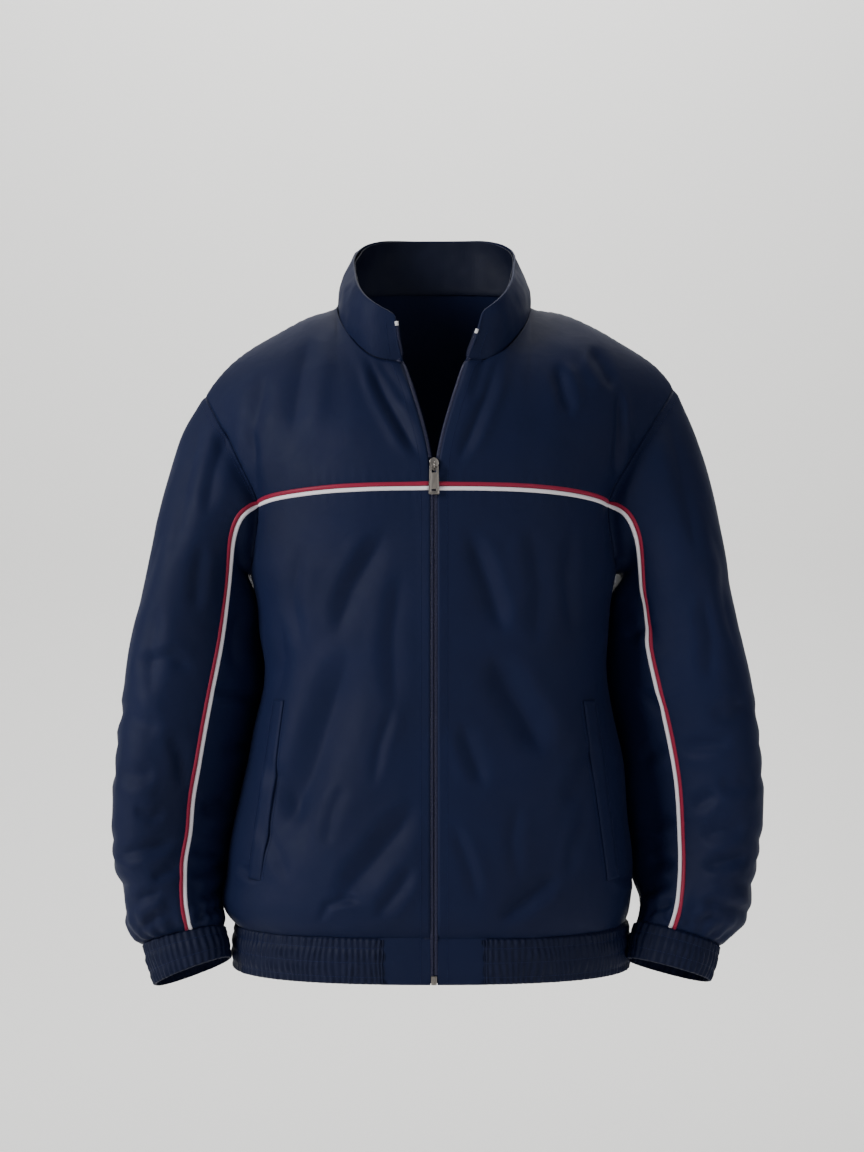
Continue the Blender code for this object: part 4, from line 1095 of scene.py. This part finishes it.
def collar():
    """The outer and inner collar, refined and made slightly uneven; the rolled edge is made by collar_rim."""
    outer = subdivided("collar_outer_cloth", skin("collar_outer"), LEVELS)
    inner = subdivided("collar_facing_cloth", with_neck_seam(skin("collar_facing", outer=False)), LEVELS)
    for piece, seed in ((outer, 5.0), (inner, 6.0)):
        points, normals = points_of(piece.data), normals_of(piece.data)
        height = 0.0012 * wander(points, 0.045, seed) + 0.0005 * wander(points, 0.016, seed)
        put_points(piece.data, points + normals * height[:, None])
    return outer, inner


def free_edge(piece):
    """The outline of an open sheet, as one closed line of points."""
    links = defaultdict(list)
    count = defaultdict(int)
    for face in piece.data.polygons:
        for key in face.edge_keys:
            count[key] += 1
    for (a, b), number in count.items():
        if number == 1:
            links[a].append(b)
            links[b].append(a)
    return points_of(piece.data)[walk(links, next(iter(links)), set(links))]


HEM_MIDDLE = -0.67


def hem_tab(side):
    """The plain end of the hem on one side, with a row added above, behind the shell."""
    part = skin("hem_tab_" + side)
    top = max(vert.co.z for vert in part.verts)
    edges = [edge for edge in part.edges
             if len(edge.link_faces) == 1 and min(vert.co.z for vert in edge.verts) > top - 0.006]
    rows = bmesh.ops.extrude_edge_only(part, edges=edges)["geom"]
    for vert in (item for item in rows if isinstance(item, bmesh.types.BMVert)):
        vert.co += Vector((0, ALLOWANCE[1], ALLOWANCE[0]))
    bmesh.ops.recalc_face_normals(part, faces=part.faces[:])
    return facing_out(subdivided("hem_tab_cloth_" + side, part, 4), np.array([0.0, 0.0, HEM_MIDDLE]))


def collar_rim(outer, inner):
    """The rolled edge: from the foot of the right front end, over the top, to the left one."""
    outline = free_edge(outer)
    fronts = outline[outline[:, 1] < -0.06]

    def foot(sign):
        """The number of the lowest point of one side's front end."""
        lowest = fronts[np.argmin(fronts[:, 2] + 9 * (fronts[:, 0] * sign < 0))]
        return int(np.argmin(np.linalg.norm(outline - lowest, axis=1)))

    outline = np.roll(outline, -foot(-1), axis=0)
    left_foot = foot(1)
    first, second = outline[:left_foot + 1], np.vstack([outline[left_foot:], outline[:1]])[::-1]
    upper = evened(first if first[:, 2].mean() > second[:, 2].mean() else second, 0.003)
    across, _ = Surface(inner).lay(upper)
    return softened((upper + across) / 2, 4), upper - across


outer, inner = collar()
tabs = {side: hem_tab(side) for side in SIDES}
front_surface = Surface(shell, outer, *tabs.values())
outlines = {side: free_edge(tabs[side]) for side in SIDES}
outlines["collar"] = free_edge(outer)
rim_line, rim_way = collar_rim(outer, inner)
rim = sweep("collar_rim", rim_line, softened(rim_way, 4), oval(0.0016, 0.0019, 10))
# The inner collar takes the darker inside cloth, whose colour is painted shade.
for piece, material, node in ((outer, "shell", "collar_outer"), (inner, "inner_painted_shade", "collar_facing")):
    finished(wall(piece, CLOTH_THICK), "jacket", "shell", material, node)
finished(rim, "jacket", "shell", "shell")

# ---- Bands ----------------------------------------------------------------------------------


HEM_LEVELS = (-0.648, -0.671, -0.694)
WRIST_OUT = 0.19                # the cuffs' seams lie farther from the middle than this


def hem_rows():
    """The hem band's levels from the seam down, each sorted round the body from the right front."""
    points = outer_points("hem_band")
    rows = []
    for level in HEM_LEVELS:
        row = points[np.abs(points[:, 2] - level) < 0.008]
        turn = np.mod(np.arctan2(row[:, 0], row[:, 1]) + math.pi, 2 * math.pi)
        rows.append(row[np.argsort(turn)])
    return np.array(rows)


hem_band, band_stitches = ribbed_band("hem_band_cloth", "hem_band", hem_rows(), False, (0.24, 0.52, 0.80), 26)
cuffs = {}
for side, sign in SIDES.items():
    points = outer_points("cuff_" + side)
    middle = points.mean(axis=0)
    wrist = [line for line in all_lines(lines, free=True) if shell_points[line][:, 2].max() < BAND_BELOW
             and (shell_points[line][:, 0] * sign).min() > WRIST_OUT]
    ring = ring_rows(points, middle, unit(middle - shell_points[np.concatenate(wrist)].mean(axis=0)))
    cuffs[side], seams = ribbed_band("cuff_cloth_" + side, "cuff_" + side, ring, True, (0.30, 0.68), 22)
    band_stitches += seams
for side, tab in tabs.items():
    finished(wall(tab, BAND_THICK), "jacket", "shell", "shell", "hem_tab_" + side)
stitched("band_stitching", "elastic", band_stitches)

# ---- Piping ---------------------------------------------------------------------------------

CORD_WIDE = 0.0043
CORD_HIGH = 0.0015


def cord_on(seam, way, material, node):
    """One piping cord beside a seam. way is 1 or -1, the side of the seam on which it lies."""
    line, ups = surface.beside(seam, way * (CORD_WIDE / 2 + 0.0002), 0.0002)
    cord = sweep(node + "_cord", softened(line, 2), ups, oval(CORD_WIDE / 2, CORD_HIGH, 14, low=-0.0006))
    finished(cord, "jacket", "piping_" + material, material, node)


for side, sign in SIDES.items():
    chest = seam_points("front_" + side, "front_yoke_" + side)
    chest = chest if chest[0, 0] * sign < chest[-1, 0] * sign else chest[::-1]
    arms = [rising(shell_points[line])
            for line in lines_between(lines, "sleeve_upper_" + side, "sleeve_under_" + side)]
    front_arm = [arm for arm in arms if arm[:, 1].mean() < -0.02][-1]
    for start, seam, way in (("yoke", chest, -sign), ("sleeve", front_arm, sign)):
        cord_on(seam, way, "red", "%s_piping_red_%s" % (start, side))
        cord_on(seam, -way, "white", "%s_piping_white_%s" % (start, side))

# ---- Pocket welts ---------------------------------------------------------------------------

WELT_TOP = np.array([0.157, -0.413])    # x and z
WELT_FOOT = np.array([0.181, -0.594])
WELT_HALF = 0.0095
WELT_HIGH = 0.0016
WELT_SEAM = 0.0125              # its stitches' distance from its middle

upper_profile = [(1.0, 0.6), (0.94, 1.0), (0.4, 1.15), (-0.4, 1.15), (-0.94, 1.0), (-1.0, 0.6)]
welt_profile = [(-WELT_HALF, -0.0008), (WELT_HALF, -0.0008)]
welt_profile += [(WELT_HALF * across, WELT_HIGH * rise) for across, rise in upper_profile]
welt_rows = []
for side, sign in SIDES.items():
    marks = np.linspace(0, 1, 60)[:, None]
    line = np.array([surface.front_at(sign * x, z) for x, z in WELT_TOP + (WELT_FOOT - WELT_TOP) * marks])
    welt = sweep("pocket_welt_cloth_" + side, softened(line, 6), surface.lay(line)[1], welt_profile)
    finished(welt, "jacket", "shell", "shell", "pocket_welt_" + side)
    welt_rows += [surface.beside(line, offset, 0.0003) for offset in (-WELT_SEAM, WELT_SEAM)]
stitched("welt_stitching", "shell", welt_rows)

# ---- Zip ------------------------------------------------------------------------------------

TOOTH = (0.0040, 0.0011, 0.0013)        # long, wide and high
TOOTH_PITCH = 0.0014
SLIDER_Z = -0.1753
PULL_AXIS_Z = SLIDER_Z - 0.0012
TAPE_DEEP = {"right": 0.0018, "left": 0.0025}   # the tapes overlap, so one lies deeper
TOPSTITCH = 0.0098              # from the front edge


def front_edge(side):
    """The front edge of one side from the hem to the collar's top, with its normals."""
    sign = SIDES[side]
    # Each source's width from the middle and heights take in its front edge and nothing else.
    sources = [(outlines[side], 0.0080, -0.6940, -0.6500),
               (outlines["collar"], 0.0460, -0.0690, -0.0260)]
    for name, *limits in (("front_", 0.0080, -0.6460, -0.1), ("front_yoke_", 0.0500, -0.3, -0.0725)):
        sources += [(shell_points[line], *limits) for line in lines[PANELS.index(name + side), -1]]
    spots = []
    for points, wide, low, high in sources:
        out, up = points[:, 0] * sign, points[:, 2]
        spots.append(points[(out > 0) & (out < wide) & (up > low) & (up < high) & (points[:, 1] < -0.03)])
    spots = np.vstack(spots)
    line = softened(evened(spots[np.argsort(spots[:, 2])], 0.003), 6)
    return line, unit(softened(front_surface.lay(line)[1], 4))


def part_of(line, ups, low, high):
    """The stretch of a rising line between two heights."""
    marks = np.linspace(low, high, max(3, int((high - low) / 0.003)))
    return read_at(marks, line[:, 2], line), unit(read_at(marks, line[:, 2], ups))


teeth, topstitches = {}, []
for side, sign in SIDES.items():
    line, ups = front_edge(side)
    top = line[-1, 2]
    inward = np.array([sign, 0.0, 0.0])
    low_part, low_ups = part_of(line, ups, -0.693, top - 0.003)
    tape = sweep("zip_tape_cloth_" + side, low_part + inward * 0.0014 - low_ups * TAPE_DEEP[side], low_ups,
                 [(-0.0051, -0.0003), (0.0051, -0.0003), (0.0051, 0.0003), (-0.0051, 0.0003)])
    finished(tape, "jacket", "zip_tape", "tape", "zip_tape_" + side)
    for low, high, state in ((-0.684, SLIDER_Z - 0.0070, "closed"), (SLIDER_Z + 0.0075, top - 0.006, "open")):
        run, run_ups = part_of(line, ups, low, high)
        along = chain_length(run)
        marks = np.arange(0.0, along[-1], TOOTH_PITCH) + (TOOTH_PITCH / 2 if side == "left" else 0.0)
        marks = marks[marks < along[-1]]
        spot, up = read_at(marks, along, run), unit(read_at(marks, along, run_ups))
        across = unit(np.cross(unit(np.gradient(spot, axis=0)), up)) * sign
        teeth[side, state] = (spot - across * 0.0015 - up * 0.0005, across, up)
    stop_run, stop_ups = part_of(line, ups, top - 0.0050, top - 0.0006)
    stop = sweep("zip_stop_moulded_" + side, stop_run - inward * 0.0016, stop_ups, oval(0.0019, 0.0015, 10))
    finished(stop, "jacket", "zip_stop", "stop", "zip_stop_" + side)
    topstitches.append(front_surface.lay(softened(line + inward * TOPSTITCH, 6), 0.0002))
for node, parts in (("zip_coil", [teeth["right", "closed"], teeth["left", "closed"]]),
                    ("zip_coil_right", [teeth["right", "open"]]),
                    ("zip_coil_left", [teeth["left", "open"]])):
    spots, across, ups = (np.vstack(rows) for rows in zip(*parts))
    coil = beads(node + "_teeth", spots, across, ups, TOOTH, MATERIALS["coil"])
    finished(coil, "jacket", "zip_coil", "coil", node)


# ---- Slider and pull ------------------------------------------------------------------------


def bevelled(piece, width, segments=3):
    """Round a hard piece's edges."""
    edge = piece.modifiers.new("Round", "BEVEL")
    edge.width = width
    edge.segments = segments
    edge.limit_method = "ANGLE"
    return settled(piece)


def plate(name, outline, near, far):
    """A plate in the plane of the front, from an outline of (x, z) corners."""
    count = len(outline)
    points = [(x, y, z) for y in (near, far) for x, z in outline]
    caps = [tuple(range(count)), tuple(range(2 * count - 1, count - 1, -1))]
    return faced_out(mesh_object(name, points, caps + grid_faces(2, count, True)))


CLEAR = 0.001                   # how far a tool runs on past the piece that it cuts


def cut(piece, outline, near, far):
    """Cut a rounded opening or recess out of a plate."""
    tool = plate("tool", rounded_outline(*outline), near, far)
    change = piece.modifiers.new("Cut", "BOOLEAN")
    change.operation = "DIFFERENCE"
    change.object = tool
    settled(piece)
    bpy.data.objects.remove(tool)
    return piece


def rounded_outline(half_top, half_foot, top, foot, radius, steps=5):
    """An upright outline with rounded corners."""
    corners = [(half_foot, foot, -90), (half_top, top, 0), (-half_top, top, 90), (-half_foot, foot, 180)]
    points = []
    for x, z, start in corners:
        centre = (x - math.copysign(radius, x), z + (radius if z == foot else -radius))
        for step in range(steps + 1):
            turn = math.radians(start + 90 * step / steps)
            points.append((centre[0] + radius * math.cos(turn), centre[1] + radius * math.sin(turn)))
    return points


slider_low, slider_high = (np.array(corner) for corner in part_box("zip_slider"))
pull_low, pull_high = (np.array(corner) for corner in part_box("zip_pull"))
half = (slider_high[0] - slider_low[0]) / 2
middle_z = (slider_high[2] + slider_low[2]) / 2
long = (slider_high[2] - slider_low[2]) / 2
plate_front = slider_low[1] + 0.0064
shield = [(half * math.sin(turn) * (0.80 + 0.20 * math.cos(turn) if math.cos(turn) < 0 else 1.0),
           middle_z + long * math.copysign(abs(math.cos(turn)) ** 0.8, math.cos(turn)))
          for turn in np.linspace(0, 2 * math.pi, 28, endpoint=False)]
body = bevelled(plate("slider_plate", shield, plate_front, plate_front + 0.0016), 0.0005)
rear = bevelled(plate("slider_rear", shield, slider_high[1] - 0.0010, slider_high[1]), 0.0003)
axis_y = (pull_low[1] + pull_high[1]) / 2
arch_turns = np.radians(np.linspace(-100, 100, 15))
arch = np.array([(0.0, axis_y + 0.0014 - 0.0036 * math.cos(turn), PULL_AXIS_Z + 0.0033 * math.sin(turn))
                 for turn in arch_turns])
arch = np.vstack([[(0.0, plate_front + 0.0004, PULL_AXIS_Z - 0.0036)], arch,
                  [(0.0, plate_front + 0.0004, PULL_AXIS_Z + 0.0036)]])
crown = sweep("slider_crown", arch, np.tile([1.0, 0.0, 0.0], (len(arch), 1)), oval(0.0006, 0.0013, 10))
for part, nodes in ((body, ("zip_slider",)), (rear, ()), (crown, ())):
    finished(part, "jacket", "zip_metal", "metal", *nodes)

# Outlines are half the width above and below, top, foot and the corners' radius.
pull_front, pull_back = pull_low[1], pull_high[1]
foot_z = pull_low[2]
tab = plate("pull_tab", rounded_outline(0.00435, 0.0054, pull_high[2], foot_z, 0.0012), pull_front, pull_back)
for outline in ((0.0025, 0.0025, PULL_AXIS_Z - 0.0009, PULL_AXIS_Z - 0.0072, 0.0008),   # window on the axis
                (0.0026, 0.0026, foot_z + 0.0052, foot_z + 0.0034, 0.0008)):            # slot at the foot
    cut(tab, outline, pull_front - CLEAR, pull_back + CLEAR)
for near, far in ((pull_front - CLEAR, pull_front + 0.00035), (pull_back - 0.00035, pull_back + CLEAR)):
    cut(tab, (0.0033, 0.0042, PULL_AXIS_Z - 0.0086, foot_z + 0.0013, 0.0009), near, far)
bevelled(tab, 0.00022, 2)
finished(tab, "pull", "zip_metal", "metal", "zip_pull")

BOX_RAISED = 0.0022             # the box ends level with the hem
box_low, box_high = (np.array(corner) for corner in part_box("zip_box"))
box_low[2] += BOX_RAISED
retainer = plate("zip_box_moulded", rounded_outline(0.0029, 0.0029, box_high[2], box_low[2], 0.0008),
                 box_low[1], box_high[1])
cut(retainer, (0.0005, 0.0005, box_high[2] - 0.001, box_low[2] + 0.0016, 0.0003),
    box_low[1] - CLEAR, box_low[1] + 0.0006)
bevelled(retainer, 0.0004)
finished(retainer, "jacket", "zip_metal", "metal", "zip_box")

# ---- Stitching ------------------------------------------------------------------------------

ARMHOLE_ROWS = (0.0022, 0.0078)         # distances from the seam
SHOULDER_ROW = 0.0022

rows = topstitches
for side, sign in SIDES.items():
    for panel, way in (("front_yoke_" + side, sign), ("back", -sign)):
        seam = rising(seam_points(panel, "sleeve_upper_" + side))
        rows += [surface.beside(seam, way * distance, 0.0002) for distance in ARMHOLE_ROWS]
    rows.append(surface.beside(seam_points("front_yoke_" + side, "back"), SHOULDER_ROW, 0.0002))
stitched("seam_stitching", "shell", rows)

# ---- Flat cuts of the cloth pieces ----------------------------------------------------------


def declare(piece, kind):
    """Look up the flat cut of one cloth piece; nothing further is done with it."""
    cut_piece = CUTS[kind]


for name in PANELS:
    declare(panels[name], name if name == "back" else name.rsplit("_", 1)[0])
declare(outer, "collar_outer")
declare(inner, "collar_facing")
declare(hem_band, "hem_band")
for side in SIDES:
    declare(cuffs[side], "cuff")
    declare(tabs[side], "hem_tab")

# ---- Camera, light and floor ----------------------------------------------------------------

camera = placed("camera", bpy.data.cameras.new("camera"))
camera.location = CAMERA_AT
camera.rotation_euler = (math.pi / 2, 0, 0)
camera.data.lens = LENS
camera.data.sensor_width = 36.0
bpy.context.scene.camera = camera

JACKET_MIDDLE = Vector((0, 0, -0.32))
LIGHTS = {      # place, aim, size and power
    "key": ((-2.6, -1.5, 0.9), JACKET_MIDDLE, 1.3, 95.0),
    "fill": ((2.0, -2.9, 0.1), JACKET_MIDDLE, 2.2, 26.0),
    "top": ((0.1, 0.3, 2.1), JACKET_MIDDLE, 1.4, 6.0),
    "behind": ((0.0, 1.9, 2.6), Vector((0, 3.6, 0.1)), 3.0, 170.0),
}
for name, (place, aim, size, power) in LIGHTS.items():
    lamp = placed(name, bpy.data.lights.new(name, "AREA"))
    lamp.data.size = size
    lamp.data.energy = power
    lamp.location = place
    lamp.rotation_euler = (aim - Vector(place)).to_track_quat("-Z", "Y").to_euler()

world = bpy.data.worlds.new("studio")
world.use_nodes = True
world.node_tree.nodes["Background"].inputs["Color"].default_value = linear("c9ccd2")
world.node_tree.nodes["Background"].inputs["Strength"].default_value = 0.42
bpy.context.scene.world = world

FLOOR_Z = -1.15
BEND_Y, BEND_ROUND = 2.7, 0.9   # where the floor starts to bend up into the wall, and its radius

# Painted plaster: matt and nearly white, with a fine uneven grain.
profile = [(-4.5, FLOOR_Z), (BEND_Y, FLOOR_Z)]
profile += [(BEND_Y + BEND_ROUND * math.sin(turn), FLOOR_Z + BEND_ROUND * (1 - math.cos(turn)))
            for turn in np.linspace(0.1, math.pi / 2, 12)]
profile.append((BEND_Y + BEND_ROUND, 4.0))
points = [(x, y, z) for x in (-6.0, 6.0) for y, z in profile]
floor = mesh_object("floor", points, grid_faces(2, len(profile), False))
floor.data.flip_normals()
pale, pale_tree, pale_shader = new_material("painted_plaster_pale", "efeeeb", 0.85)
place = add_node(pale_tree, "ShaderNodeTexCoord").outputs["Object"]
grain = add_node(pale_tree, "ShaderNodeTexNoise", inputs={"Vector": place, "Scale": 240.0})
bump = add_node(pale_tree, "ShaderNodeBump", inputs={"Height": grain.outputs["Fac"], "Distance": 0.0005,
                                                     "Strength": 0.2})
pale_tree.links.new(bump.outputs["Normal"], pale_shader.inputs["Normal"])
floor.data.materials.append(pale)

bpy.data.objects.remove(shell)
